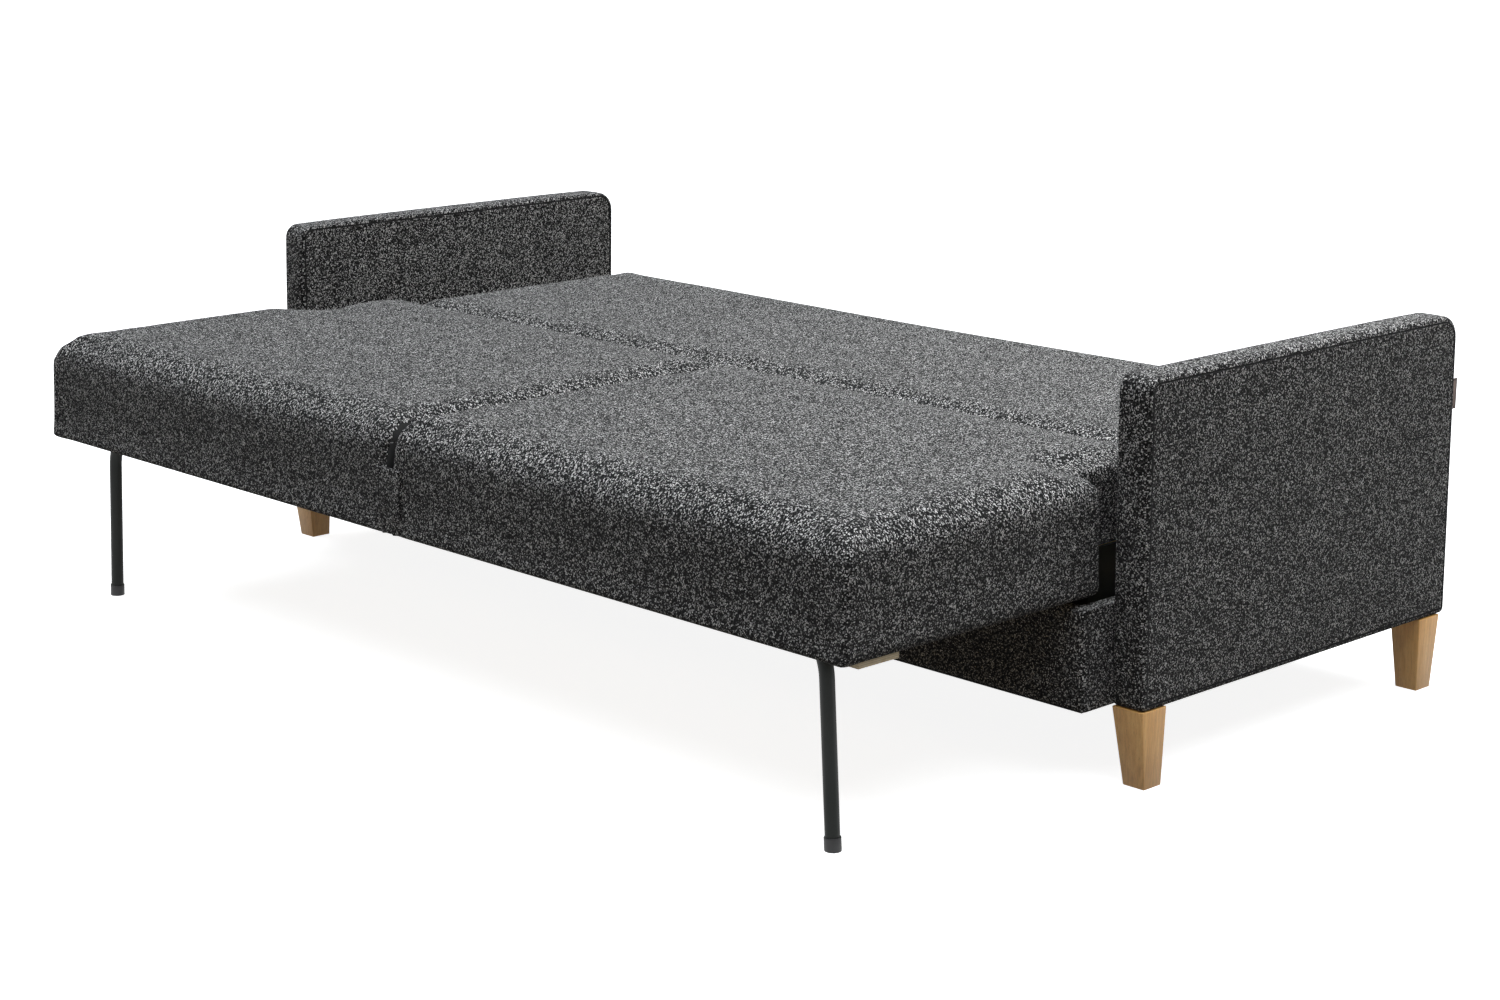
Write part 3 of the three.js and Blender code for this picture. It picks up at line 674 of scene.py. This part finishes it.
@dataclass
class SeatCushion(Upholstery):
    """One half of the seat: a boxed cushion whose cloth runs down over the wooden frame."""

    side: Side = Side.RIGHT
    front_radius: float = 42 * MM
    end_radius: float = 32 * MM
    corner_radius: float = 7 * MM
    corner_push: float = 5.5 * MM
    joint_radius: float = 15 * MM
    front_joint_radius: float = 9 * MM
    rear_radius: float = 5 * MM
    shoulder_radius: float = 7 * MM
    hem_radius: float = 8 * MM
    hem_drop: float = 5 * MM
    joint_gap: float = 0.8 * MM
    joint_shade_width: float = 1.7 * MM
    seam_level: float = 0.4385
    closing: tuple[float, float] = (0.12, 0.45)
    closed_share: float = 0.75
    fold_slope: tuple[float, float] = (0.13, 11 * MM)
    fall_level: float = 0.38
    fall_height: float = 0.09
    fold_reach: float = 15 * MM
    corner_reach: float = 50 * MM
    groove_end: float = 0.43
    groove_fade: float = 0.08
    groove_half: float = 14 * MM
    groove_depths: tuple[float, float] = (12 * MM, 20 * MM)
    groove_slope: float = 0.12
    sewn_end: float = 0.42
    sewn_half: float = 4 * MM
    sewn_depth: float = 60 * MM
    sewn_gap: float = 0.15 * MM

    def radius(self, place: Vector, axis: Axis) -> float:
        """The radius of one edge of the block, from its place and direction."""
        x, y, z = abs(place.x), place.y, place.z
        top = z > self.top - MM
        low = z < self.bottom + MM
        front = y < self.front + MM
        joint = x < 5 * MM
        outer = x > self.half - MM
        if axis is Axis.Z:
            if outer and front:
                return self.corner_radius
            if joint and front:
                return self.front_joint_radius
            return self.shoulder_radius if outer else 4 * MM
        if top:
            if front:
                return self.front_radius
            if joint:
                return self.joint_radius
            if outer:
                return self.end_radius
            return self.rear_radius if y > self.rear - MM else self.shoulder_radius
        if low and (front or outer):
            return self.hem_radius
        return 2 * MM

    def build(self) -> None:
        """Build the cushion."""
        name = self.side.label
        sign = self.side.value
        low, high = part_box(f"seat_pad_{name}")
        border_low, border_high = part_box(f"seat_border_{name}")
        frame_low, frame_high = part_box(f"seat_frame_{name}")
        front_low, front_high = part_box("seat_frame_front")
        deck_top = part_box(f"seat_deck_{name}")[1].z
        self.half = max(abs(low.x), abs(high.x)) - 0.5 * MM
        self.front, self.rear = low.y + 0.5 * MM, high.y
        self.top, self.bottom = high.z - 5 * MM, border_low.z - self.hem_drop
        shoulder = border_high.y
        gap = self.joint_gap
        edge = sorted((sign * gap, sign * self.half))
        cushion = block(f"seat_cushion_{name}", (edge[0], self.front, self.bottom),
                        (edge[1], self.rear, self.top))
        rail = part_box(f"carriage_plate_{name}")
        rail_side = min(abs(rail[0].x), abs(rail[1].x))
        notch = sorted((sign * (rail_side + 3 * MM), sign * (self.half + 0.1)))
        carve(cushion, (notch[0], shoulder, self.bottom - 0.1), (notch[1], 1.0, self.top + 0.1))
        self.round_over(cushion, self.radius, self.front_radius)
        self.swell(cushion, self.bottom, (2.5 * MM, 7 * MM, 9 * MM))
        self.close_joint(cushion)
        self.sew(cushion, self.seam_level)
        # The frame and the deck fill the cushion's underside, inside a border of cloth.
        loose = self.loose
        wing_rear = shoulder - 10 * MM - loose
        strap_top = min(rail[1].z, frame_low.z + 50 * MM)
        deck_side = abs(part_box(f"seat_deck_{name}")[0 if sign < 0 else 1].x)
        frame_side = max(abs(frame_low.x), abs(frame_high.x))
        for half, front, rear, top in (
            (frame_side - FRONT_BOARD_SETBACK + loose, front_low.y - loose, wing_rear,
             deck_top + loose),
            (frame_side + loose, front_high.y, wing_rear, deck_top + loose),
            (deck_side + loose, wing_rear - MM, 0.2, deck_top + loose),
            (rail_side, wing_rear - MM, 0.2, frame_high.z + loose),
        ):
            across = sorted((-sign * 0.01, sign * half))
            carve(cushion, (across[0], front, 0.2), (across[1], rear, top), "MANIFOLD")
        beside = sorted((sign * (rail_side - MM), sign * 0.99))
        carve(cushion, (beside[0], shoulder + loose, 0.2), (beside[1], 0.2, strap_top + 2 * MM),
              "MANIFOLD")
        self.dress(cushion, "seat", [f"seat_pad_{name}", f"seat_border_{name}"], 0.75)
        self.paint_joint_shade(cushion)

    def paint_joint_shade(self, cushion: bpy.types.Object) -> None:
        """Paint the joint and the faces facing into it near-black, as painted shade, so that it
        shows as one fine dark seam.
        """
        line = self.side.value * self.joint_shade_width
        cut_levels(cushion, Axis.X, [line])
        # Painted shade: the faces in the joint and facing into it take the near-black seam colour.
        cushion.data.materials.append(self.finishes.made["painted_seam_shade"])
        with editing(cushion):
            choose(cushion, "faces", lambda face: abs(middle(face).x) < abs(line)
                   or (abs(face.normal.x) > 0.8 and abs(middle(face).x) < self.joint_radius))
            assign_slot(cushion, 1)

    def close_joint(self, cushion: bpy.types.Object) -> None:
        """Close the joint between the cushions, ease the fold and fill the front corner out."""
        at = points_of(cushion)
        out = np.abs(at[:, 0])
        start, length = self.closing
        back = ease((at[:, 1] - (self.front + start)) / length)
        lift = dropped(out, self.joint_radius) * back * self.closed_share
        at[:, 2] += np.where(at[:, 2] > self.top - self.joint_radius, lift, 0)
        depth = at[:, 1] - self.front
        self.sew_front(at, out, depth)
        # The top falls away towards the back, which lies a little lower, and meets it flush.
        slope, fall = self.fold_slope
        rear = ease((at[:, 1] - (self.rear - slope)) / slope)
        at[:, 2] -= fall * rear * np.clip((at[:, 2] - self.fall_level) / self.fall_height, 0, 1)
        fold = dropped(self.rear - at[:, 1], self.fold_reach)
        at[:, 2] += np.where(at[:, 2] > self.top - fall - self.fold_reach - MM, fold, 0)
        # The filled front corner stands out a little.
        near = self.corner_reach
        corner = ease((out - self.half + near) / near) * ease((near - depth) / near)
        at[:, 0] += np.sign(at[:, 0]) * self.corner_push * corner
        at[:, 1] -= self.corner_push * corner
        move_points(cushion, at)

    def sew_front(self, at: np.ndarray, out: np.ndarray, depth: np.ndarray) -> None:
        """Run the groove out low in front, where the two covers are sewn to one border.

        Args:
            at: the cushion's points, which are moved.
            out: how far each was from the joint.
            depth: how far each is behind the front.
        """
        shallow, deep = self.groove_depths
        low = ease((self.groove_end - at[:, 2]) / self.groove_fade)
        low = low * (out < self.groove_half) * (depth < deep)
        pressed = shallow * self.groove_slope
        steep = (deep - pressed) / (deep - shallow)
        flush = np.where(depth < shallow, depth * self.groove_slope,
                         pressed + (depth - shallow) * steep)
        at[:, 1] += low * (flush - depth)
        sewn = (at[:, 2] < self.sewn_end) * (out < self.sewn_half) * (depth < self.sewn_depth)
        at[:, 0] = np.where(sewn, np.sign(at[:, 0]) * self.sewn_gap, at[:, 0])


@dataclass
class SeatBorder(Upholstery):
    """The strip of cloth behind the joint, which closes it where both covers are sewn to it."""

    half_width: float = 30 * MM
    setback: float = 2 * MM
    rise: float = 28 * MM
    edge: float = 1.5 * MM

    def build(self) -> None:
        """Build the strip."""
        low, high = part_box("seat_border_front")
        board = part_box("seat_frame_front")[0]
        strip = block("seat_border_strip", (-self.half_width, low.y + self.setback, low.z + MM),
                      (self.half_width, board.y - 0.2 * MM, high.z + self.rise))
        bevel_edges(strip, lambda edge: middle(edge).y < low.y + self.setback + MM, self.edge, 3)
        self.dress(strip, "seat", ["seat_border_front"], 1.0, 35)


@dataclass
class BackCushion(Upholstery):
    """The back: one long cushion over its frame, built lying flat; nothing here bends it at its
    nose when the back folds up.
    """

    rear_radius: float = 42 * MM
    end_radius: float = 24 * MM
    nose_radius: float = 5 * MM
    corner_radius: float = 9 * MM
    corner_push: float = 4 * MM
    hem_radius: float = 5 * MM
    seam_level: float = 0.425

    def radius(self, place: Vector, axis: Axis) -> float:
        """The radius of one edge of the block, from its place and direction."""
        top = place.z > self.top - MM
        rear = place.y > self.rear - MM
        if axis is Axis.Z:
            return self.corner_radius if rear else 6 * MM
        if top:
            if axis is Axis.Y:
                return self.end_radius
            return self.rear_radius if rear else self.nose_radius
        return self.hem_radius

    def build(self) -> None:
        """Build the cushion."""
        low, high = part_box("back_pad")
        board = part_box("back_frame_upper")
        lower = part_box("back_frame_lower")[0]
        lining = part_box("back_lining")
        deck_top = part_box("back_deck")[1].z
        plate_low, plate_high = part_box("back_plate_right")
        self.half = high.x + 4 * MM
        self.front, self.rear = low.y + 0.6 * MM, high.y + 4.5 * MM
        self.top, self.bottom = high.z - 6 * MM, lining[0].z + 0.5 * MM
        cushion = block("back_cushion", (-self.half, self.front, self.bottom),
                        (self.half, self.rear, self.top))
        self.round_over(cushion, self.radius, self.rear_radius)
        self.swell(cushion, self.bottom, (2.5 * MM, 3 * MM, 8 * MM))
        at = points_of(cushion)
        at[:, 1] = np.maximum(at[:, 1], low.y + 0.2 * MM)
        fold = dropped(at[:, 1] - low.y, 15 * MM)
        at[:, 2] += np.where(at[:, 2] > self.top - 16 * MM, fold, 0)
        # The cloth is pulled square over the frame's lower edges and rear corners.
        reach = 14 * MM
        square = dropped(at[:, 2] - self.bottom, reach)
        out = np.abs(at[:, 0])
        sides, rears = out > self.half - reach, at[:, 1] > self.rear - reach
        widest = np.maximum(out, self.half + MM)
        deepest = np.maximum(at[:, 1], self.rear + MM)
        corner = ease((out - self.half + reach) / reach)
        corner *= ease((at[:, 1] - self.rear + reach) / reach)
        at[:, 0] = np.sign(at[:, 0]) * np.where(
            sides, np.minimum(out + square, widest) + self.corner_push * corner, out)
        at[:, 1] = np.where(
            rears, np.minimum(at[:, 1] + square, deepest) + self.corner_push * corner, at[:, 1])
        move_points(cushion, at)
        self.sew(cushion, self.seam_level)
        inner = board[1].x + self.loose
        # Behind the nose the cloth wraps under the frame as far as the lining.
        loose = self.loose
        for half, front, low_z, rear, high_z in (
            (inner, 0.0, 0.2, lower.y, deck_top + 0.2 * MM),
            (inner, lower.y - MM, lower.z - 0.1 * MM, board[1].y + loose, deck_top + 0.2 * MM),
            (lining[1].x + loose, lower.y - MM, 0.2, lining[1].y + loose, lower.z + MM),
        ):
            carve(cushion, (-half, front, low_z), (half, rear, high_z), "MANIFOLD")
        # The cloth stops short of the hinge plates.
        for sign in (-1, 1):
            span = sorted((sign * (plate_low.x - 1.3 * MM), sign * 1.1))
            carve(cushion, (span[0], 0.0, 0.2),
                  (span[1], plate_high.y + 4 * MM, plate_high.z + 4 * MM), "MANIFOLD")
        self.dress(cushion, "", ["back_pad"], 0.7)
        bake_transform(cushion)


@dataclass
class ArmCover(Upholstery):
    """An arm: a thin upright panel, padded all over, its side panels sewn in with a fine seam."""

    side: Side = Side.RIGHT
    rear_radius: float = 38 * MM
    front_radius: float = 24 * MM
    foot_radius: float = 10 * MM
    outer_edge: float = 7 * MM
    inner_edge: float = 5 * MM
    inner_swell: float = 3 * MM
    lean: float = 8 * MM
    crown: Point = (3.0 * MM, 5.0 * MM, 3.5 * MM)
    seam_width: float = 3.4 * MM
    seam_depth: float = 2.8 * MM
    grid: float = 28 * MM

    def build(self) -> None:
        """Build the arm."""
        name = self.side.label
        low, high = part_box(f"arm_cover_{name}")
        cover = block(f"arm_upholstery_{name}", low, high)
        clothe(cover, self.finishes.tweed)
        # Second slot: the near-black painted seam shade for the grooves.
        cover.data.materials.append(self.finishes.made["painted_seam_shade"])
        self.shape(cover, low, high)
        self.fill_out(cover, low, high)
        core_low, core_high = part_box(f"arm_core_{name}")
        loose = Vector((self.loose,) * 3)
        carve(cover, tuple(core_low - loose - Vector((0, 0, 0.02))), tuple(core_high + loose))
        self.dress(cover, "base", [f"arm_cover_{name}"], 0.95, 35)

    def shape(self, cover: bpy.types.Object, low: Vector, high: Vector) -> None:
        """Round the arm's outline and edges and sew its side panels in, with painted shade in the
        seam grooves.
        """
        for y, z, radius, segments in (
            (high.y, high.z, self.rear_radius, 12), (low.y, high.z, self.front_radius, 9),
            (low.y, low.z, self.foot_radius, 5), (high.y, low.z, self.foot_radius, 5),
        ):
            bevel_edges(cover, lambda edge: runs_along(edge, Axis.X)
                        and abs(middle(edge).y - y) < MM and abs(middle(edge).z - z) < MM,
                        radius, segments)
        outer, inner = (high.x, low.x) if self.side is Side.RIGHT else (low.x, high.x)
        for face_x, edge_size in ((outer, self.outer_edge), (inner, self.inner_edge)):
            bevel_edges(cover, lambda edge: all(abs(vert.co.x - face_x) < 0.1 * MM
                                                for vert in edge.verts), edge_size, 5)
            # The groove walls round each side panel keep slot 1, the near-black painted seam shade;
            # the panel inside goes back to the tweed.
            with editing(cover):
                choose(cover, "faces", lambda face: abs(face.normal.x) > 0.999
                       and abs(middle(face).x - face_x) < 0.1 * MM)
                assign_slot(cover, 1)
                for depth in (-self.seam_depth, self.seam_depth):
                    bpy.ops.mesh.inset(thickness=0.5 * self.seam_width, depth=depth)
                assign_slot(cover, 0)

    def fill_out(self, cover: bpy.types.Object, low: Vector, high: Vector) -> None:
        """Swell the arm's faces by its padding and lean it in."""
        sign = self.side.value
        cut_levels(cover, Axis.Y, between(low.y, high.y, self.grid))
        cut_levels(cover, Axis.Z, between(low.z, high.z, self.grid))
        cut_levels(cover, Axis.X, between(low.x, high.x, self.grid / 2))
        at = points_of(cover)
        faces = [bump_curve(at[:, i], low[i], high[i]) for i in range(3)]
        centre = (np.array(low) + np.array(high)) / 2
        for i in range(3):
            others = [faces[j] for j in range(3) if j != i]
            push = self.crown[i] * others[0] * others[1]
            reach = (at[:, i] - centre[i]) / ((high[i] - low[i]) / 2)
            towards = np.sign(reach) * np.abs(reach) ** 6
            if i == 0:
                inwards = self.inner_swell / self.crown[0]
                push = np.where(at[:, 0] * sign > abs(centre[0]), push, push * inwards)
            if i == 1:
                push = np.where(reach < 0, push, push * 0.4)
            if i == 2:
                push = np.where(reach > 0, push, 0)
            at[:, i] += push * towards
        # The arm leans in a little towards the seat.
        at[:, 0] -= sign * self.lean * (at[:, 2] - low.z) / (high.z - low.z)
        move_points(cover, at)


@dataclass
class BaseCover(Upholstery):
    """The cloth-covered front and rear of the base, the front one turning back to the arms."""

    wrap: float = 2.4 * MM
    tuck: float = 110 * MM
    edge: float = 9 * MM
    crown: float = 1.6 * MM

    def panel(self, name: str, low: Point, high: Point, outward: int) -> bpy.types.Object:
        """Build one upholstered panel, rounded and swollen on the face that shows.

        Args:
            name: the piece's name.
            low: its lowest corner.
            high: its highest corner.
            outward: the sign along Y of the way that it faces.

        Returns:
            The panel.
        """
        face = low[1] if outward < 0 else high[1]
        panel = block(name, low, high)
        bevel_edges(panel, lambda edge: abs(middle(edge).y - face) < MM, self.edge, 6)
        cut_levels(panel, Axis.X, between(low[0], high[0], 50 * MM))
        cut_levels(panel, Axis.Z, between(low[2], high[2], 26 * MM))
        at = points_of(panel)
        push = self.crown * bump_curve(at[:, 0], low[0], high[0], 8)
        push *= bump_curve(at[:, 2], low[2], high[2])
        at[:, 1] += np.where(np.abs(at[:, 1] - face) < MM, outward * push, 0)
        move_points(panel, at)
        return panel

    def build(self) -> None:
        """Build the front panel, which wraps the ends of the side rails, and the rear one."""
        low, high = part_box("base_front_rail")
        rail_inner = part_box("base_right_rail")[0].x
        arm_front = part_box("arm_cover_right")[0].y
        front = self.panel("base_cover_front", (low.x - self.wrap, low.y - MM, low.z - MM),
                           (high.x + self.wrap, arm_front + self.tuck, high.z + 1.5 * MM), -1)
        behind = high.y + 0.1 * MM
        carve(front, (-rail_inner, behind, 0.0), (rail_inner, 0.0, 0.5))
        carve(front, (low.x - 0.2 * MM, behind, 0.0), (high.x + 0.2 * MM, 0.0, high.z + 0.2 * MM))
        self.dress(front, "base", ["base_front_rail"], 0.95, 35)
        low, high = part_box("base_rear_rail")
        rear = self.panel("base_cover_rear", tuple(low), tuple(high), 1)
        self.dress(rear, "base", ["base_rear_rail"], 0.95, 35)


# ------------------------------------------------------------------ wood, steel and trim


@dataclass
class OakFeet:
    """Four tapered oak feet with eased edges."""

    finishes: Finishes
    eased: float = 1.4 * MM

    def build(self) -> None:
        """Build the feet."""
        for end in ("front", "rear"):
            for side in Side:
                node = f"foot_{end}_{side.label}"
                foot = copy_node(f"oak_{node}", node)
                ease_edges(foot, self.eased)
                smooth(foot, 35)
                clothe(foot, self.finishes.made["oiled_oak"])
                hand_over(foot, "oak", "base", node)


@dataclass
class LegHoop:
    """The folding leg: one bent steel tube with a rounded nylon ferrule on each end."""

    finishes: Finishes
    sides: int = 32
    bend_radius: float = 90 * MM
    bend_steps: int = 18
    splay: float = math.radians(3.5)
    eased: float = 0.5 * MM

    def tube(self) -> None:
        """Build the tube, half of it spun and extruded and the other half mirrored."""
        low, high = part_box("leg_crossbar")
        centre = (low + high) / 2
        radius = (high.z - low.z) / 2
        leg_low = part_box("leg_right")[0].z
        deselect()
        bpy.ops.mesh.primitive_circle_add(vertices=self.sides, radius=radius, fill_type="NOTHING",
                                          location=(0, centre.y, centre.z),
                                          rotation=(0, math.pi / 2, 0))
        hoop = bpy.context.object
        hoop.name = hoop.data.name = "leg_hoop"
        bpy.ops.object.transform_apply(location=True, rotation=True, scale=True)
        bend_start = high.x + 0.3 * MM
        turn = math.pi / 2 - self.splay
        with editing(hoop, "EDGE", whole=True):
            bpy.ops.mesh.extrude_region_move(TRANSFORM_OT_translate={"value": (bend_start, 0, 0)})
            bpy.ops.mesh.spin(steps=self.bend_steps, angle=turn, axis=(0, -1, 0),
                              center=(bend_start, centre.y, centre.z - self.bend_radius))
            end = Vector((bend_start + self.bend_radius * math.sin(turn), centre.y,
                          centre.z - self.bend_radius * (1 - math.cos(turn))))
            length = (end.z - leg_low - MM) / math.sin(turn)
            way = Vector((math.cos(turn), 0, -math.sin(turn))) * length
            bpy.ops.mesh.extrude_region_move(TRANSFORM_OT_translate={"value": way})
            bpy.ops.mesh.edge_face_add()
        apply_modifier(hoop, "MIRROR", use_axis=(True, False, False), merge_threshold=0.01 * MM)
        smooth(hoop, 40)
        clothe(hoop, self.finishes.made["powder_coated_steel"])
        hand_over(hoop, "black_steel", "leg_hoop", "leg_crossbar", "leg_left", "leg_right")

    def build(self) -> None:
        """Build the hoop and its ferrules."""
        self.tube()
        for side in Side:
            node = f"leg_cap_{side.label}"
            cap = copy_node(f"ferrule_{side.label}", node)
            ease_edges(cap, self.eased)
            smooth(cap, 35)
            clothe(cap, self.finishes.made["moulded_nylon"])
            hand_over(cap, "nylon", "leg_hoop", node)


@dataclass
class LabelTag:
    """A small blank ribbon label, folded in two and sewn into the arm's rear seam."""

    finishes: Finishes
    border: float = 3.2 * MM
    fold: float = 1.15 * MM
    tuck: Point = (6 * MM, 7 * MM, 0.0)

    def build(self) -> None:
        """Build the label, its folded ends tucked into the seam of the leaning arm."""
        low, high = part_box("label_tag")
        tuck = Vector(self.tuck)
        tag = block("ribbon_label", low - tuck, (high.x - tuck.x, high.y, high.z))
        bevel_edges(tag, lambda edge: runs_along(edge, Axis.Z) and middle(edge).y > high.y - MM,
                    self.fold, 5)
        clothe(tag, self.finishes.made["label_ribbon"])
        tag.data.materials.append(self.finishes.made["label_middle"])
        with editing(tag):
            choose(tag, "faces", lambda face: abs(face.normal.x) > 0.99)
            bpy.ops.mesh.inset(thickness=self.border, depth=0)
            assign_slot(tag, 1)
            bpy.ops.mesh.inset(thickness=0.4 * MM, depth=0.25 * MM)
        smooth(tag, 35)
        hand_over(tag, "label_cloth", "base", "label_tag")


@dataclass
class FrontBoard:
    """The seat's front board, its ends set back from the cushions' rounded corners."""

    finishes: Finishes
    eased: float = 1.2 * MM

    def build(self) -> None:
        """Build the board."""
        low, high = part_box("seat_frame_front")
        short = Vector((FRONT_BOARD_SETBACK, 0, 0))
        board = block("seat_front_board", low + short, high - short)
        bevel_edges(board, lambda edge: not runs_along(edge, Axis.Y), self.eased, 3)
        smooth(board, 35)
        clothe(board, self.finishes.made["planed_pine_x"])
        hand_over(board, "pine", "seat", "seat_frame_front")


@dataclass
class Woodwork:
    """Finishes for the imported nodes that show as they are: boards, decks, plates and linings."""

    finishes: Finishes

    def material_for(self, node: str) -> str:
        """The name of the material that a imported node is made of."""
        starts_of = {
            "zinc_plated_steel": ("slide_channel", "pivot_pin", "foot_bolt"),
            "powder_coated_steel": ("carriage_plate", "back_plate"),
            "moulded_nylon": ("slide_shoe", "leg_block"),
            "spun_lining": ("dust_cover", "back_lining"),
            "birch_plywood": ("seat_deck", "back_deck", "leg_board"),
        }
        for finish, starts in starts_of.items():
            if node.startswith(starts):
                return finish
        low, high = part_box(node)
        return "planed_pine_x" if high.x - low.x > high.y - low.y else "planed_pine_y"

    def dress(self) -> None:
        """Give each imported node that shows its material."""
        for name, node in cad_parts.items():
            if node.hide_render:
                continue
            clothe(node, self.finishes.made[self.material_for(name)])


# ------------------------------------------------------------------ studio


@dataclass
class Studio:
    """A pale floor, soft light from overhead, and the camera off the right front corner."""

    floor_size: float = 120.0
    location: Point = (3.5207, -3.31235, 1.4041)
    azimuth: float = math.radians(-45.8064)
    elevation: float = math.radians(13.5642)
    roll: float = math.radians(0.2503)
    lens: float = 68.64
    overhead: float = 4.8
    overhead_spread: float = 84.0
    fill: float = 0.04
    ambient: float = 0.09
    lamp_place: Point = (1.3, 1.2, 2.6)
    lamp_size: float = 1.5
    lamp_power: float = 58.0

    def floor(self) -> None:
        """Lay the floor."""
        deselect()
        bpy.ops.mesh.primitive_plane_add(size=self.floor_size, location=(0, 0, 0))
        floor = bpy.context.object
        floor.name = "studio_floor"
        # The paper glows a little, so that the bed throws only a faint shadow on it.
        paper = Finish("matt_backdrop_paper", Roughness=0.95, Specular_IOR_Level=0.05,
                       Emission_Color=linear("#ffffff"), Emission_Strength=0.88)
        place = paper.add("TexCoord").outputs["Object"]
        tooth = paper.add("TexNoise", {"Vector": place, "Scale": 1 / (5 * MM), "Detail": 2.0})
        colour = paper.ramp(tooth.outputs["Fac"], [(0.3, "#cfcfce"), (0.7, "#d1d1d0")])
        clothe(floor, paper.paint(Base_Color=colour))
        floor.visible_diffuse = False

    def backdrop(self) -> None:
        """Close the view above the floor with a white dome that lights nothing."""
        deselect()
        bpy.ops.mesh.primitive_uv_sphere_add(radius=self.floor_size / 2, location=(0, 0, 0))
        dome = bpy.context.object
        dome.name = "studio_backdrop"
        cloth = Finish("white_backdrop_cloth", Base_Color=linear("#000000"),
                       Emission_Color=linear("#ffffff"), Emission_Strength=1.0)
        clothe(dome, cloth.material)
        dome.visible_diffuse = dome.visible_glossy = dome.visible_shadow = False

    def stand(self, name: str, data: Any) -> bpy.types.Object:
        """Put a lamp or a camera in the scene."""
        item = bpy.data.objects.new(name, data)
        bpy.context.scene.collection.objects.link(item)
        return item

    def sun(self, name: str, power: float, spread: float, towards: Point, shade: str) -> None:
        """Add a distant soft light.

        Args:
            name: the light's name.
            power: its strength.
            spread: its apparent size in degrees.
            towards: the direction in which its light travels.
            shade: its colour.
        """
        data = bpy.data.lights.new(name, "SUN")
        data.energy = power
        data.angle = math.radians(spread)
        data.color = linear(shade)[:3]
        lamp = self.stand(name, data)
        lamp.rotation_euler = Vector(towards).to_track_quat("-Z", "Y").to_euler()

    def rear_lamp(self) -> None:
        """Hang a square softbox over the rear right, which lifts the bed's top on that side."""
        data = bpy.data.lights.new("rear_softbox", "AREA")
        data.size = self.lamp_size
        data.energy = self.lamp_power
        self.stand("rear_softbox", data).location = self.lamp_place

    def lights(self) -> None:
        """Set the lights and the way that they are shown."""
        self.rear_lamp()
        self.sun("overhead_softbox", self.overhead, self.overhead_spread, (-0.03, 0.03, -1.0),
                 "#f3f8ff")
        self.sun("front_fill", self.fill, 60, (-0.55, 0.75, -0.35), "#ffeedd")
        world = bpy.data.worlds.new("studio")
        bpy.context.scene.world = world
        world.use_nodes = True
        backdrop = world.node_tree.nodes["Background"]
        backdrop.inputs["Color"].default_value = linear("#fff3e2")
        backdrop.inputs["Strength"].default_value = self.ambient
        view = bpy.context.scene.view_settings
        view.view_transform = "Standard"
        view.look = "None"

    def camera(self) -> None:
        """Stand the camera."""
        data = bpy.data.cameras.new("camera")
        data.lens = self.lens
        data.sensor_width = 36.0
        data.clip_end = 200.0
        camera = self.stand("camera", data)
        ahead = Vector((math.sin(self.azimuth) * math.cos(self.elevation),
                        math.cos(self.azimuth) * math.cos(self.elevation),
                        -math.sin(self.elevation)))
        level = Vector((math.cos(self.azimuth), -math.sin(self.azimuth), 0))
        upright = level.cross(ahead)
        right = level * math.cos(self.roll) + upright * math.sin(self.roll)
        up = upright * math.cos(self.roll) - level * math.sin(self.roll)
        turned = Matrix((right, up, -ahead)).transposed().to_4x4()
        camera.matrix_world = Matrix.Translation(self.location) @ turned
        bpy.context.scene.camera = camera

    def build(self) -> None:
        """Build the studio."""
        self.floor()
        self.backdrop()
        self.lights()
        self.camera()


def main() -> None:
    """Build the sofa bed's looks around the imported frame."""
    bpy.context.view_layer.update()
    finishes = Finishes()
    Studio().build()
    for side in Side:
        SeatCushion(finishes, side=side).build()
        ArmCover(finishes, side=side).build()
    SeatBorder(finishes).build()
    BackCushion(finishes).build()
    BaseCover(finishes).build()
    OakFeet(finishes).build()
    LegHoop(finishes).build()
    LabelTag(finishes).build()
    FrontBoard(finishes).build()
    Woodwork(finishes).dress()


if __name__ == "__main__":
    main()
